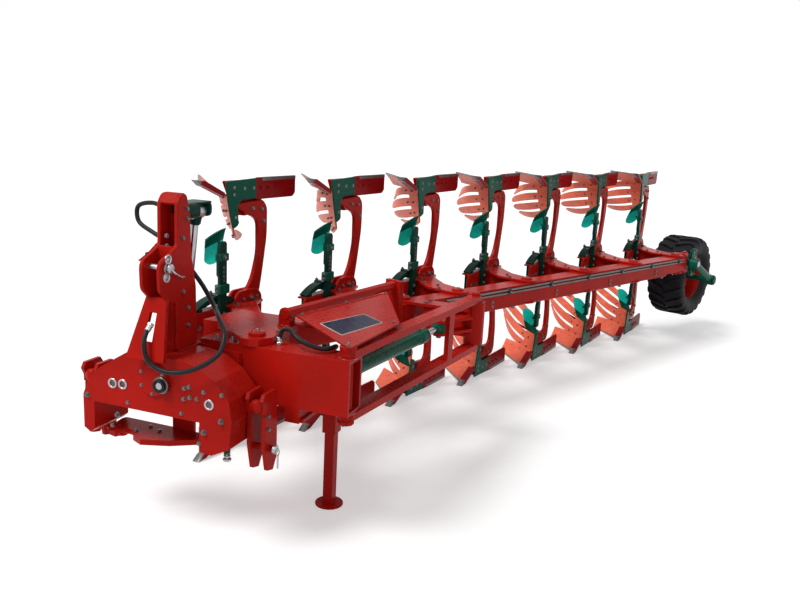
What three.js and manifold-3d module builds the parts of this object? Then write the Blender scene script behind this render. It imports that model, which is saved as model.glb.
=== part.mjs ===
// Seven-furrow mounted reversible plough with variable furrow width.
// Millimetres, +Z up, +X towards the tractor, +Y to the left-hand side.
// The turnover axis is the line y = 0, z = 0 while the pieces are made; the group is then
// stood on the ground with its origin under the middle of the whole machine.
import * as THREE from 'three';
import { mergeVertices } from 'three/addons/utils/BufferGeometryUtils.js';
import Module from 'manifold-3d';

const wasm = await Module();
wasm.setup();

// Driving dimensions of the whole machine
const furrows = 7;
const bodySpacing = 850;          // body to body along the beam
const shareDepth = 900;           // turnover axis to the share tips
const furrowAngle = rad(16.3);    // beam to bodies, as the furrow width is set
const headingAngle = rad(9);      // bodies' heading to the turnover axis
const fit = 0.4;                  // clearance between pieces that touch or turn
const overrun = 6;                // how far a cutter passes the face that it opens
const bite = 2;                   // how far joined shapes run into each other
const small = 8;                  // sides of small round bars
const least = 6;                  // sides of the small pins that every furrow repeats
const round = 16;                 // sides of large round bars

// Main beam, measured rearwards along its centre line from the first body bracket
const beamSize = 150;
const beamWall = 12;
const beamLead = 350;             // beam ahead of the first body bracket
const beamTail = 115;             // beam behind the last body bracket
const firstPivot = [-714, 86];    // first body bracket's pivot, in plan
const linkStation = 1135;         // crosshead pivot
const stayStation = 889;          // stay tube's rear foot
const stayRadius = 32;
const stayHeight = 250;
const stayFoot = 36;
const stayStart = [-390, 383];
const saddle = 70;

// Cross box and the front linkage
const boxFront = -50;
const boxDepth = 160;
const boxHeight = 290;
const boxInner = 60;              // box starts beside the turnover axis
const boxOuter = 912;
const boxWall = 18;
const linkPivotX = -125;          // both front linkage pins stand in the box's middle
const innerPivotY = 353;
const linkInset = 42;             // outer link's pin from the box's end
const outerPivotY = boxOuter - linkInset;
const linkPin = 32;
const linkBar = 40;               // thickness of the link bars and yoke plates
const linkBarWidth = 84;
const pinHead = 46;
const headThickness = 10;
const yokeWall = 25;
const postShare = 0.715;          // outer link's post, as a share of its length
const postLength = 70;
const postWidth = 30;

// Body brackets and legs, in the bodies' own heading from the bracket pivot
const bracketPlate = 20;
const bracketPin = 26;
const bracketReach = 85;          // plates' round end about the pivot
const tipAhead = 120;             // share tip ahead of the bracket pivot
const legOffset = 470;            // leg's middle plane to the right of the bracket pivot
const legThickness = 30;
const tripPivotX = -350;
const tripPivotZ = 112;
const tripPin = 20;
const tripBoss = 34;
const landsideOffset = 450;       // landside's outer face to the right of the bracket pivot
const cheek = 22;                 // bracket's side cheeks beside the leg heads
const steeringArm = [-30, -112];  // steering pin from the bracket pivot
const steeringPin = 14;
const steeringRod = 27;
const steeringRodZ = -137;
const packThickness = 34;
const packWidth = 60;

// Plough bottoms, heights measured up from the share tip
const landsideLength = 960;
const landsidePlate = 14;
const boardPlate = 12;
const sharePlate = 12;
const pointWidth = 60;
const frogPlate = 27;
const frogBacking = 40;
const strutRadius = 9;
const boardAcross = 3;            // cells along the mouldboard
const boardUp = 7;                // cells up the mouldboard, every other one a finger
const breastCells = 1;            // cells of the unbroken breast

// Skimmers
const stemAhead = [-90, -30];
const stemWidth = 30;
const stemReach = 520;
const bladePlate = 10;

// Headstock
const headDepth = 260;
const headWidth = 890;
const headReach = 355;            // turnover axis to the frame's feet
const headWall = 26;
const shaftRadius = 50;
const bearingRadius = 84;
const bearingCap = 14;            // bearing's end ahead of the frame
const linkOutset = 55;            // lower link clevises outside the frame
const bridgeShare = 0.43;         // their bridges' root, as a share of the frame's width
const clevisGap = 62;
const clevisPlate = 20;
const clevisHeight = 395;
const mouthShare = 0.507;         // underside of the frame over the tongue, as a share of that reach
const lowerPin = 18.3;
const lowerPinPlace = [70, -330];
const mastTop = 905;
const mastPlate = 20;
const mastHalf = 60;
const mastFoot = 120;             // top face of the headstock body
const topPin = 16;
const tonguePlate = 30;
const tongueLength = 522;

// Turnover cylinder
const cylinderX = -100;
const cylinderTopZ = 800;
const crankRadius = 90;
const crankDisc = 130;
const cylinderBarrel = 38;
const cylinderRod = 21;
const barrelEnd = 330;

// Width cylinder
const widthFootX = -285;
const widthInset = 142;           // barrel's pin from the box's end
const widthHeadOffset = [270.1, -163.1];
const widthBarrel = 50;
const widthRod = 22;
const widthEye = 46;
const widthEyeHalf = 28;
const barrelLength = 973;
const rodOverlap = 90;
const openPivot = 9;              // clearance of the pivot that closes the linkage

// Cover over the linkage
const coverLength = 1170;
const coverPlate = 6;
const coverSkirt = 46;
const coverBase = 262;
const coverSlopeX = -0.016;
const coverSlopeY = -0.0616;

// Depth wheel
const wheelRadius = 443;
const tyreWidth = 400;
const wheelOffset = [-550.3, -27.3];
const wheelDrop = 230;            // wheel's middle below the turnover axis
const wheelYaw = rad(-21);
const swivelOverhang = 210;       // swivel behind the last body bracket
const swivelBarrel = 40;
const swivelPin = 18;
const armRadius = 38;
const stubRadius = 28;
const hubRadius = 70;
const axleRadius = 30;
const armOffset = 345;            // arm's middle plane from the wheel's middle

// Parking stand
const standPlace = [-543, 604];
const standTube = 58;
const standSleeve = 80;
const standFoot = 82;
const standBottom = -450;
const standShelf = 225;           // underside of the stand's shelf below the turnover axis

// Hoses
const hoseRadius = 12;
const hoseSides = 6;
const mastHoseSteps = 30;
const frameHoseSteps = 16;
const frameHoseInner = 470;       // frame hose's root from the turnover axis

// Hose routes, in shares of the mast's top, and of the box's depth, its free end and its height
const mastHoseShares = [
  [-0.0331, -0.0672, 0.884], [-0.0331, -0.1105, 0.884], [-0.0608, -0.2541, 0.9127],
  [-0.0829, -0.3757, 0.8785], [-0.0773, -0.3702, 0.8011], [-0.0497, -0.2431, 0.7425],
  [-0.0453, -0.0773, 0.674], [-0.0453, 0, 0.5746], [-0.0453, 0.0884, 0.4751],
  [0.0221, 0.2099, 0.3812], [0.1436, 0.3204, 0.3558], [0.2376, 0.4144, 0.2983],
  [0.2983, 0.4221, 0.2155], [0.3481, 0.3425, 0.1436], [0.3757, 0.221, 0.0972],
  [0.389, 0.1105, 0.1017], [0.389, 0.0387, 0.1436], [0.3812, 0.0133, 0.2099],
  [0.3514, 0, 0.2652], [0.3006, 0, 0.3149],
];
const frameHoseShares = [
  [-0.9375, 0, 0.5021], [-0.9375, 0, 0.5931], [-0.9375, 0.0452, 0.7759],
  [-0.7812, 0.1584, 0.8276], [-0.575, 0.3167, 0.7241], [-0.5938, 0.4977, 0.6276],
  [-0.8125, 0.6335, 0.5793], [-1.1875, 0.6787, 0.5862], [-1.475, 0.6335, 0.5172],
  [-1.525, 0.5317, 0.3862], [-1.4375, 0.4977, 0.3448], [-1.3169, 0.4977, 0.3448],
];

// Colours
const paints = {
  red: { color: 0xb01010, roughness: 0.3, metalness: 0.1 },
  coral: { color: 0xf07050, roughness: 0.45, metalness: 0.1 },
  green: { color: 0x00553f, roughness: 0.35, metalness: 0.1 },
  turquoise: { color: 0x18b8a0, roughness: 0.4, metalness: 0.1 },
  chrome: { color: 0xb8bcc2, roughness: 0.15, metalness: 0.95 },
  rubber: { color: 0x16161a, roughness: 0.85, metalness: 0 },
  hose: { color: 0x141416, roughness: 0.6, metalness: 0 },
};

// Headstock body across the machine, in shares of its width and of its reach below the axis
const headShares = [
  [-0.4494, -0.169], [-0.3708, 0.0282], [-0.2135, 0.2704], [-0.1685, 0.338], [0.1685, 0.338],
  [0.2809, 0.2817], [0.3933, 0.1127], [0.4831, -0.1408], [0.5, -0.4225], [0.4831, -0.8169],
  [0.3708, -0.9577], [0.2944, -0.9296], [0.2944, -0.507], [-0.418, -0.507], [-0.418, -0.9296],
  [-0.4494, -0.9989], [-0.4944, -0.9296], [-0.4944, -0.4225],
];
const headHollowShares = [
  [-0.3933, -0.4225], [-0.3933, -0.1127], [-0.191, 0.1972], [0.191, 0.1972], [0.3708, 0],
  [0.427, -0.2817], [0.2809, -0.4225],
];
const clevisShares = [
  [0, -0.1519], [0.0203, -0.2532], [0.0101, -1], [0.1013, -1.1519], [0.243, -1.1139],
  [0.3241, -0.7595], [0.3038, -0.3038], [0.3797, -0.1519], [0.3291, -0.0759], [0.0506, -0.0759],
];
const tongueShares = [
  [0.0192, 0.1916], [0.1609, 0.2797], [0.3257, 0.0383], [0.4272, -0.2299], [0.364, -0.364],
  [0.2682, -0.4119], [0.2529, -0.5077], [0.3774, -0.5728], [0.3544, -0.6609], [0.2146, -0.7203],
  [0.0575, -0.7471], [0.0077, -0.728], [0.0077, -0.1149],
];

// Mast side plate and its sloping front plate, in shares of the mast's top
const mastShares = [
  [-0.0221, 0.133], [-0.0221, 0.9613], [0.0221, 1], [0.1105, 1], [0.1547, 0.9503],
  [0.1547, 0.7238], [0.221, 0.6851], [0.3039, 0.6519], [0.3094, 0.4972], [0.2376, 0.4309],
  [0.1657, 0.4088], [0.1657, 0.133],
];
const topPinShares = [
  [0.2398, 0.6619], [0.2475, 0.6144], [0.2552, 0.5669],
];
const slopeTopShares = [
  [0.2343, -0.0663, 0.442], [0.2343, 0.0663, 0.442], [0.2652, 0.0663, 0.4773],
  [0.2652, -0.0663, 0.4773],
];
const slopeFootShares = [
  [0.3448, -0.1215, 0.1193], [0.3448, 0.1215, 0.1193], [0.3624, 0.1215, 0.1282],
  [0.3624, -0.1215, 0.1282],
];
const slotTopShares = [
  [0.2608, -0.0199, 0.3646], [0.2608, 0.0199, 0.3646], [0.305, 0.0199, 0.3867],
  [0.305, -0.0199, 0.3867],
];
const slotFootShares = [
  [0.3028, -0.0265, 0.2099], [0.3028, 0.0265, 0.2099], [0.3646, 0.0265, 0.232],
  [0.3646, -0.0265, 0.232],
];

// Yoke in plan in shares of the beam's size; cover in shares of its length, aside measured from
// the box's end at its outer edge and from the stay tube at its inner edge
const yokeBlockShares = [
  [-1.7, -0.4], [-1.7, 2.0667], [-3.7333, 2.0667], [-3.7333, -0.0667],
];
const yokeHollowShares = [
  [-1.8667, -0.1333], [-1.8667, 1.9], [-3.5667, 1.9], [-3.5667, 0.2],
];
const yokePlateShares = [
  [-1.7, 0.2], [-0.2667, 2.0667], [-0.24, 2.3533], [-0.3467, 2.6933], [-0.8333, 2.9467],
  [-2, 2.8667], [-2.9333, 2.8333], [-2.9333, 2], [-2.6667, 0.2],
];
const coverOuterShares = [
  [-0.0513, -0.006], [-0.547, 0.0325],
];
const coverInnerShares = [
  [-1.0513, 0.0662], [-0.3419, 0.0322],
];

// Bracket in plan, and its cheek and spring carrier seen from the side, in shares of the leg offset
const bracketPlanShares = [
  [0.166, -0.1277], [0.0851, -0.4894], [-0.2128, -0.8085], [-0.2298, -0.9213],
  [-0.9362, -0.9213], [-0.9362, -0.8511], [-0.7021, -0.766], [-0.3191, -0.383],
  [-0.1809, -0.0426],
];
const cheekShares = [
  [-1, -0.2553], [-1, 0.2553], [-0.8936, 0.3617], [-0.5106, 0.3617], [-0.383, 0.2128],
  [0.4255, 0.0851], [0.4255, -0.0851], [-0.383, -0.2128], [-0.5106, -0.3617],
  [-0.8936, -0.3617],
];
const outerCheekShares = [
  [-1, -0.2553], [-1, 0.2553], [-0.8936, 0.3617], [-0.5106, 0.3617], [-0.383, 0.2128],
  [-0.383, -0.2128], [-0.5106, -0.3617], [-0.8936, -0.3617],
];
const packShares = [
  [-0.5106, 0.2043], [-0.4894, 0.2809], [-0.0957, 0.3574], [0.3191, 0.2511], [0.3191, 0.1787],
  [-0.0957, 0.2809], [-0.4255, 0.2128],
];
const carrierShares = [
  [-0.4255, -0.0979], [-0.4255, 0.0979], [0.2383, 0.0979], [0.2511, 0.2383], [0.3234, 0.2383],
  [0.3191, 0.0979], [0.3191, -0.0979], [0.3234, -0.2383], [0.2511, -0.2383], [0.2383, -0.0979],
];

// Leg seen from the side: above from the bracket pivot in shares of the share depth, foot from the
// share tip in shares of the landside's length
const legShares = [
  [-0.5556, 0.2911], [-0.5, 0.0444], [-0.3333, 0.0444], [-0.3244, 0.1244], [-0.4389, 0.25],
  [-0.5022, 0.4444], [-0.4978, 0.6944],
];
const footShares = [
  [-0.4688, 0.2417], [-0.3729, 0.1917], [-0.3792, 0.1708], [-0.6458, 0.1542], [-0.6927, 0.2083],
  [-0.6927, 0.4115],
];

// Plough bottom: side views, then share and mouldboard patches, in shares of the landside's length
const frogShares = [
  [-0.2969, 0.0312], [-0.6458, 0.0052], [-0.6458, 0.1406], [-0.3667, 0.1417], [-0.3646, 0.2083],
  [-0.4115, 0.3042], [-0.3625, 0.3021], [-0.3177, 0.125],
];
const frogBackingShares = [
  [-0.3021, 0.0208], [-0.6458, 0.0208], [-0.6667, 0.125], [-0.6667, 0.2458], [-0.4896, 0.2604],
  [-0.3438, 0.25],
];
const pointShares = [
  [0, 0], [-0.0458, 0.0375], [-0.2479, 0.1167], [-0.2542, 0.0896], [-0.0729, 0.0063],
];
const landsideShares = [
  [-0.5625, 0.0021], [-1, 0.0021], [-1, 0.125], [-0.9688, 0.151], [-0.5625, 0.151],
];
const shareShares = [
  [[0, 0, 0.0135], [-0.2188, -0.2083, 0.0135], [-0.4375, -0.4167, 0.0135]],
  [[-0.1562, -0.0104, 0.075], [-0.3312, -0.2031, 0.0708], [-0.5052, -0.4062, 0.0646]],
  [[-0.3125, -0.0208, 0.1292], [-0.4427, -0.2083, 0.125], [-0.5833, -0.4167, 0.1146]],
];
const boardShares = [
  [[-0.2938, -0.0083, 0.1083], [-0.3333, -0.0125, 0.2604], [-0.375, -0.0208, 0.3833]],
  [[-0.5677, -0.4062, 0.0938], [-0.5833, -0.3438, 0.3125], [-0.6458, -0.2292, 0.4948]],
  [[-0.9688, -0.5833, 0.2083], [-0.9167, -0.6667, 0.3438], [-1.0417, -0.5208, 0.4427]],
];
const strutRootShare = [
  [-0.625, -0.0625, 0.1562],
];

// Skimmer seen from the side and in plan, in shares of the stem's reach
const stemShares = [
  [-0.1731, -1], [-0.1731, 1], [-0.0577, 1], [-0.0346, 0.8173], [-0.0346, 0.5962],
  [-0.0577, 0.5673], [-0.0577, -0.5673], [-0.0346, -0.5962], [-0.0346, -0.8173], [-0.0577, -1],
];
const bladeShares = [
  [[0.0962, -0.7769, 1.1538], [-0.1154, -0.8269, 1.0769], [-0.2885, -0.8654, 1]],
  [[-0.0846, -0.7846, 1], [-0.1731, -0.9231, 0.9231], [-0.3654, -1, 0.8462]],
  [[-0.0962, -0.7923, 0.7308], [-0.2115, -1.0385, 0.7115], [-0.3846, -1.1538, 0.7308]],
];

function rad(degrees) {
  return (degrees * Math.PI) / 180;
}

function scaled(shares, size) {
  return shares.map((row) => row.map((share, i) => (Array.isArray(share)
    ? share.map((value) => value * size)
    : share * (Array.isArray(size) ? size[i] : size))));
}

// Plain geometry helpers

// A closed mesh as a solid for joins and cuts
function solid(shape) {
  if (shape instanceof wasm.Manifold) return shape;
  const merged = welded(shape);
  return new wasm.Manifold(new wasm.Mesh({
    numProp: 3,
    vertProperties: new Float32Array(merged.attributes.position.array),
    triVerts: new Uint32Array(merged.index.array),
  }));
}

function welded(geometry) {
  const bare = geometry.clone();
  bare.deleteAttribute('normal');
  bare.deleteAttribute('uv');
  return mergeVertices(bare);
}

function join(...shapes) {
  return shapes.flat(2).map(solid).reduce((sum, next) => sum.add(next));
}

function cut(body, ...tools) {
  return tools.flat(2).map(solid).reduce((rest, tool) => rest.subtract(tool), solid(body));
}

function geometryOf(shape) {
  if (shape instanceof THREE.BufferGeometry) return welded(shape);
  const mesh = shape.getMesh();
  const geometry = new THREE.BufferGeometry();
  geometry.setAttribute('position', new THREE.BufferAttribute(mesh.vertProperties, 3));
  geometry.setIndex(new THREE.BufferAttribute(mesh.triVerts, 1));
  return geometry;
}

// A copy of a shape moved by a matrix, its faces turned round again where the matrix mirrors it
function placed(shape, matrix) {
  const geometry = geometryOf(shape).clone().applyMatrix4(matrix);
  if (matrix.determinant() < 0) {
    const { array } = geometry.index;
    for (let i = 0; i < array.length; i += 3) {
      [array[i + 1], array[i + 2]] = [array[i + 2], array[i + 1]];
    }
  }
  return geometry;
}

function place([x, y], z = 0, turn = 0) {
  return new THREE.Matrix4().makeRotationZ(turn).setPosition(x, y, z);
}

const mirrorUp = new THREE.Matrix4().makeScale(1, 1, -1);

function withMirror(shape) {
  return [shape, placed(shape, mirrorUp)];
}

function plate(points, depth) {
  const corners = points.map(([u, v]) => new THREE.Vector2(u, v));
  if (THREE.ShapeUtils.area(corners) < 0) corners.reverse();
  return new THREE.ExtrudeGeometry(new THREE.Shape(corners), { depth, bevelEnabled: false });
}

// Plates lying flat, standing across the machine, and standing along it
function flatPlate(points, z0, z1) {
  return plate(points, z1 - z0).translate(0, 0, z0);
}

function crossPlate(points, x0, x1) {
  const turn = new THREE.Matrix4().makeBasis(
    new THREE.Vector3(0, 1, 0), new THREE.Vector3(0, 0, 1), new THREE.Vector3(1, 0, 0));
  return plate(points, x1 - x0).applyMatrix4(turn).translate(x0, 0, 0);
}

function sidePlate(points, y0, y1) {
  const turn = new THREE.Matrix4().makeBasis(
    new THREE.Vector3(1, 0, 0), new THREE.Vector3(0, 0, 1), new THREE.Vector3(0, -1, 0));
  return plate(points, y1 - y0).applyMatrix4(turn).translate(0, y1, 0);
}

function block(x0, x1, y0, y1, z0, z1) {
  return new THREE.BoxGeometry(x1 - x0, y1 - y0, z1 - z0)
    .translate((x0 + x1) / 2, (y0 + y1) / 2, (z0 + z1) / 2);
}

// A round bar between two points
function bar(from, to, radius, sides = small, start = 0) {
  const a = new THREE.Vector3(...from);
  const b = new THREE.Vector3(...to);
  const length = a.distanceTo(b);
  const turn = new THREE.Quaternion().setFromUnitVectors(
    new THREE.Vector3(0, 1, 0), b.clone().sub(a).normalize());
  return new THREE.CylinderGeometry(radius, radius, length, sides, 1, false, start)
    .translate(0, length / 2, 0).applyQuaternion(turn).translate(a.x, a.y, a.z);
}

function upright([x, y], z0, z1, radius, sides = small) {
  return bar([x, y, z0], [x, y, z1], radius, sides);
}

// A faceted bore for a turning pin of this radius: its flats clear the pin's edges and face them
function bore(from, to, radius, sides = small) {
  const turn = Math.PI / sides;
  return bar(from, to, (radius + fit) / Math.cos(turn), sides, turn);
}

function uprightBore([x, y], z0, z1, radius, sides = small) {
  return bore([x, y, z0], [x, y, z1], radius, sides);
}

function arc([x, y], radius, start, end, steps) {
  return Array.from({ length: steps + 1 }, (_, i) => {
    const angle = start + ((end - start) * i) / steps;
    return [x + radius * Math.cos(angle), y + radius * Math.sin(angle)];
  });
}

// A flat bar with round ends between two plan points
function strap(a, b, width, z0, z1) {
  const angle = Math.atan2(b[1] - a[1], b[0] - a[0]);
  const quarter = Math.PI / 2;
  const outline = [
    ...arc(a, width / 2, angle + quarter, angle + 3 * quarter, small / 2),
    ...arc(b, width / 2, angle - quarter, angle + quarter, small / 2),
  ];
  return flatPlate(outline, z0, z1);
}

// A ring or a round body: closed profile of radius and distance, turned about a line
function turned(profile, from, direction, sides = round) {
  const points = profile.map(([radius, along]) => new THREE.Vector2(radius, along));
  const turn = new THREE.Quaternion().setFromUnitVectors(
    new THREE.Vector3(0, 1, 0), new THREE.Vector3(...direction).normalize());
  return new THREE.LatheGeometry(points, sides).applyQuaternion(turn).translate(...from);
}

// A body between two four-cornered faces listed the same way round
function between(near, far) {
  const points = [...near, ...far].flat();
  const faces = [0, 2, 1, 0, 3, 2, 4, 5, 6, 4, 6, 7];
  for (let i = 0; i < 4; i += 1) {
    const next = (i + 1) % 4;
    faces.push(i, next, next + 4, i, next + 4, i + 4);
  }
  const geometry = new THREE.BufferGeometry();
  geometry.setAttribute('position', new THREE.Float32BufferAttribute(points, 3));
  geometry.setIndex(faces);
  return outward(geometry);
}

// Turn all faces round if the closed body faces inwards
function outward(geometry) {
  const { array } = geometry.index;
  const corner = (i) => new THREE.Vector3().fromBufferAttribute(geometry.attributes.position, array[i]);
  let volume = 0;
  for (let i = 0; i < array.length; i += 3) {
    volume += corner(i).dot(corner(i + 1).cross(corner(i + 2)));
  }
  if (volume > 0) return geometry;
  for (let i = 0; i < array.length; i += 3) {
    [array[i + 1], array[i + 2]] = [array[i + 2], array[i + 1]];
  }
  return geometry;
}

// A curved patch over three rows of three control points
function patch(control) {
  const weights = (t) => [(1 - t) * (1 - t), 2 * t * (1 - t), t * t];
  return (u, v) => {
    const point = new THREE.Vector3();
    weights(u).forEach((wu, i) => weights(v).forEach((wv, j) => {
      point.addScaledVector(new THREE.Vector3(...control[i][j]), wu * wv);
    }));
    return point;
  };
}

// A point off a patch, square to it
function offPatch(at, u, v, distance) {
  const step = 1 / 1000;
  const du = at(u + step, v).sub(at(u - step, v));
  const dv = at(u, v + step).sub(at(u, v - step));
  return at(u, v).addScaledVector(du.cross(dv).normalize(), distance);
}

// A sheet between two distances off a patch, with some of its cells left out
function sheet(at, across, along, low, high, keeps = () => true) {
  const points = [];
  for (const u of across) {
    for (const v of along) {
      points.push(offPatch(at, u, v, high), offPatch(at, u, v, low));
    }
  }
  const rows = along.length;
  const id = (i, j, side) => (i * rows + j) * 2 + side;
  const kept = (i, j) => i >= 0 && j >= 0 && i < across.length - 1 && j < rows - 1 && keeps(i, j);
  const faces = [];
  const quad = (a, b, c, d) => faces.push(a, b, c, a, c, d);
  for (let i = 0; i < across.length - 1; i += 1) {
    for (let j = 0; j < rows - 1; j += 1) {
      if (!kept(i, j)) continue;
      const [a, b, c, d] = [id(i, j, 0), id(i + 1, j, 0), id(i + 1, j + 1, 0), id(i, j + 1, 0)];
      quad(a, b, c, d);
      quad(a + 1, d + 1, c + 1, b + 1);
      if (!kept(i, j - 1)) quad(a, a + 1, b + 1, b);
      if (!kept(i, j + 1)) quad(d, c, c + 1, d + 1);
      if (!kept(i - 1, j)) quad(a, d, d + 1, a + 1);
      if (!kept(i + 1, j)) quad(b, b + 1, c + 1, c);
    }
  }
  const geometry = new THREE.BufferGeometry();
  geometry.setAttribute('position',
    new THREE.Float32BufferAttribute(points.flatMap((p) => p.toArray()), 3));
  geometry.setIndex(faces);
  return outward(mergeVertices(geometry));
}

function steps(count) {
  return Array.from({ length: count + 1 }, (_, i) => i / count);
}

function hose(points, count) {
  const curve = new THREE.CatmullRomCurve3(
    points.map((p) => new THREE.Vector3(...p)), false, 'centripetal');
  const section = arc([0, 0], hoseRadius, 0, (2 * Math.PI * (hoseSides - 1)) / hoseSides, hoseSides - 1);
  const shape = new THREE.Shape(section.map(([u, v]) => new THREE.Vector2(u, v)));
  return new THREE.ExtrudeGeometry(shape, { steps: count, extrudePath: curve, bevelEnabled: false });
}

// The finished group
const plough = new THREE.Group();

function addNode(name, shape, paint) {
  const mesh = new THREE.Mesh(geometryOf(shape), new THREE.MeshStandardMaterial(paints[paint]));
  mesh.name = name;
  plough.add(mesh);
}

// Plan directions: along the beam to the rear, and square to it on its left
const rowAngle = furrowAngle + headingAngle;
const rearward = [-Math.cos(rowAngle), Math.sin(rowAngle)];
const leftward = [Math.sin(rowAngle), Math.cos(rowAngle)];
const half = beamSize / 2;
const boxHalf = boxHeight / 2;
const boxRear = boxFront - boxDepth;
const lastStation = bodySpacing * (furrows - 1);

function station(along, aside = 0) {
  return [
    firstPivot[0] + rearward[0] * along + leftward[0] * aside,
    firstPivot[1] + rearward[1] * along + leftward[1] * aside,
  ];
}

const innerPivot = [linkPivotX, innerPivotY];
const outerPivot = [linkPivotX, outerPivotY];
const crossheadPivot = station(linkStation);
const crossheadOuter = [crossheadPivot[0], crossheadPivot[1] + outerPivotY - innerPivotY];
const widthFoot = [widthFootX, boxOuter - widthInset];
const stayLine = [[stayStart[0] + saddle / 2, stayStart[1] - bite], station(stayStation, beamSize * 1.05)];
const widthHead = sum(crossheadOuter, widthHeadOffset);

// A plan vector from the bodies' heading turned into the machine's frame
function heading([x, y]) {
  const c = Math.cos(headingAngle);
  const s = Math.sin(headingAngle);
  return [c * x + s * y, -s * x + c * y];
}

function sum([x, y], [u, v]) {
  return [x + u, y + v];
}

// Levels of the plates stacked above and below the beam and the box
const plateLow = half + fit;
const plateHigh = plateLow + bracketPlate;
const linkLow = boxHalf + fit;
const linkHigh = linkLow + linkBar;

const bodyPlaces = Array.from({ length: furrows }, (_, i) => (
  place(station(bodySpacing * i), 0, -headingAngle)));
const beamPlace = place(firstPivot, 0, -rowAngle);
const swivelStation = lastStation + swivelOverhang;
const swivelPlace = station(swivelStation);
const wheelPlace = sum(swivelPlace, wheelOffset);
const wheelMiddle = place(wheelPlace, 0, wheelYaw);

// A plan point in the depth wheel's own frame
function inWheel([x, y]) {
  const local = new THREE.Vector3(x, y, 0).applyMatrix4(wheelMiddle.clone().invert());
  return [local.x, local.y];
}

// Headstock frame: shouldered body with the bearing, the mouth and the lower link clevises
function headstockFrame() {
  const inside = [headWall, headDepth - headWall];
  const size = [headWidth, headReach];
  const body = crossPlate(scaled(headShares, size), 0, headDepth);
  const hollow = crossPlate(scaled(headHollowShares, size), ...inside);
  const mouth = block(...inside, -headWidth / 4, headWidth / 4, -shaftRadius * 4, -bearingRadius);
  const bearing = bar([0, 0, 0], [headDepth + bearingCap, 0, 0], bearingRadius, round);
  const shaftWay = bore([-overrun, 0, 0], [headDepth - headWall, 0, 0], shaftRadius, round);
  return cut(join(cut(body, hollow, mouth), bearing, clevis(1), clevis(-1)), shaftWay);
}

// One lower link clevis: two hanging plates, their pin and the bridge to the frame
function clevis(side) {
  const outline = scaled(clevisShares, clevisHeight);
  const spread = headWidth / 2 + linkOutset;
  const inner = spread - clevisGap / 2;
  const outer = spread + clevisGap / 2;
  const edges = [[inner - clevisPlate, inner], [outer, outer + clevisPlate]];
  const plates = edges.map(([low, high]) => (
    side > 0 ? sidePlate(outline, low, high) : sidePlate(outline, -high, -low)));
  const [pinX, pinZ] = lowerPinPlace;
  const reach = outer + clevisPlate * 1.5;
  const start = inner - clevisPlate * 1.5;
  const pin = bar([pinX, side * start, pinZ], [pinX, side * reach, pinZ], lowerPin, small);
  const ends = [side * headWidth * bridgeShare, side * (outer + clevisPlate)].sort((a, b) => a - b);
  const bridge = block(clevisPlate, headDepth / 2, ...ends, -bearingRadius * 1.6, -bearingRadius);
  return [...plates, pin, bridge];
}

// Mast: two side plates, webs, the turnover cylinder's clevis and the sloping slotted plate
function mast() {
  const outline = scaled(mastShares, mastTop);
  const inner = mastHalf - mastPlate;
  const eyeHalf = cylinderBarrel + fit;
  const back = cylinderX - eyeHalf - mastPlate;
  const headLow = cylinderTopZ - shaftRadius;
  const headHigh = cylinderTopZ + bearingRadius;
  const bridge = headHigh - mastPlate * 2;
  const foot = mastFoot + fit;
  const slope = between(scaled(slopeTopShares, mastTop), scaled(slopeFootShares, mastTop));
  const slot = between(scaled(slotTopShares, mastTop), scaled(slotFootShares, mastTop));
  const pins = scaled(topPinShares, mastTop);
  const hole = ([x, z]) => bar([x, -mastHalf - overrun, z], [x, mastHalf + overrun, z], topPin);
  const [x, z] = pins[1];
  const front = mastHalf * 2 + mastPlate;
  const body = join(
    sidePlate(outline, inner, mastHalf),
    sidePlate(outline, -mastHalf, -inner),
    block(front, front + mastPlate, -inner - bite, inner + bite, foot, mastTop * 0.72),
    block(-mastPlate, 0, -inner - bite, inner + bite, foot, headLow),
    block(back, back + mastPlate, -mastHalf, mastHalf, headLow, headHigh),
    block(cylinderX + eyeHalf, 0, -mastHalf, mastHalf, headLow, headHigh),
    block(back, 0, -mastHalf, mastHalf, bridge, headHigh),
    bar([back + bite, 0, cylinderTopZ], [-bite, 0, cylinderTopZ], tripPin),
    cut(slope, slot),
  );
  const link = bar([x, -mastHalf - mastPlate, z], [x, mastHalf + mastPlate, z], topPin);
  return join(cut(body, hole(pins[0]), hole(pins[2])), link);
}

// Tongue plate under the headstock's mouth, with its jaw and its post
function hitchTongue() {
  const top = -headReach - fit;
  const outline = scaled(tongueShares, tongueLength);
  const ceiling = -headReach * mouthShare - fit;
  const post = block(bite, headWall - bite, -headDepth / 4, headDepth / 4, top - bite, ceiling);
  return join(flatPlate(outline, top - tonguePlate, top), post);
}

// Turnover cylinder from the mast's top to the crank, barrel below and rod above
function turnoverCylinder() {
  const top = new THREE.Vector3(cylinderX, 0, cylinderTopZ);
  const low = new THREE.Vector3(cylinderX, -crankRadius, 0);
  const point = (share) => low.clone().lerp(top, share).toArray();
  const end = barrelEnd / cylinderTopZ;
  const eye = (at, radius) => bar(
    [cylinderX - cylinderBarrel, at.y, at.z], [cylinderX + cylinderBarrel, at.y, at.z], radius, round);
  const body = join(
    bar(point(0), point(end), cylinderBarrel - bite, round),
    bar(point(end - small / cylinderTopZ), point(end + small / cylinderTopZ), cylinderBarrel, round),
    bar(point(end), point(1), cylinderRod, small),
    eye(top, tripPin * 2),
    eye(low, cylinderBarrel - bite),
  );
  const pinEnd = cylinderBarrel + overrun;
  return cut(body, bore([cylinderX - pinEnd, 0, cylinderTopZ], [cylinderX + pinEnd, 0, cylinderTopZ],
    tripPin));
}

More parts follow.
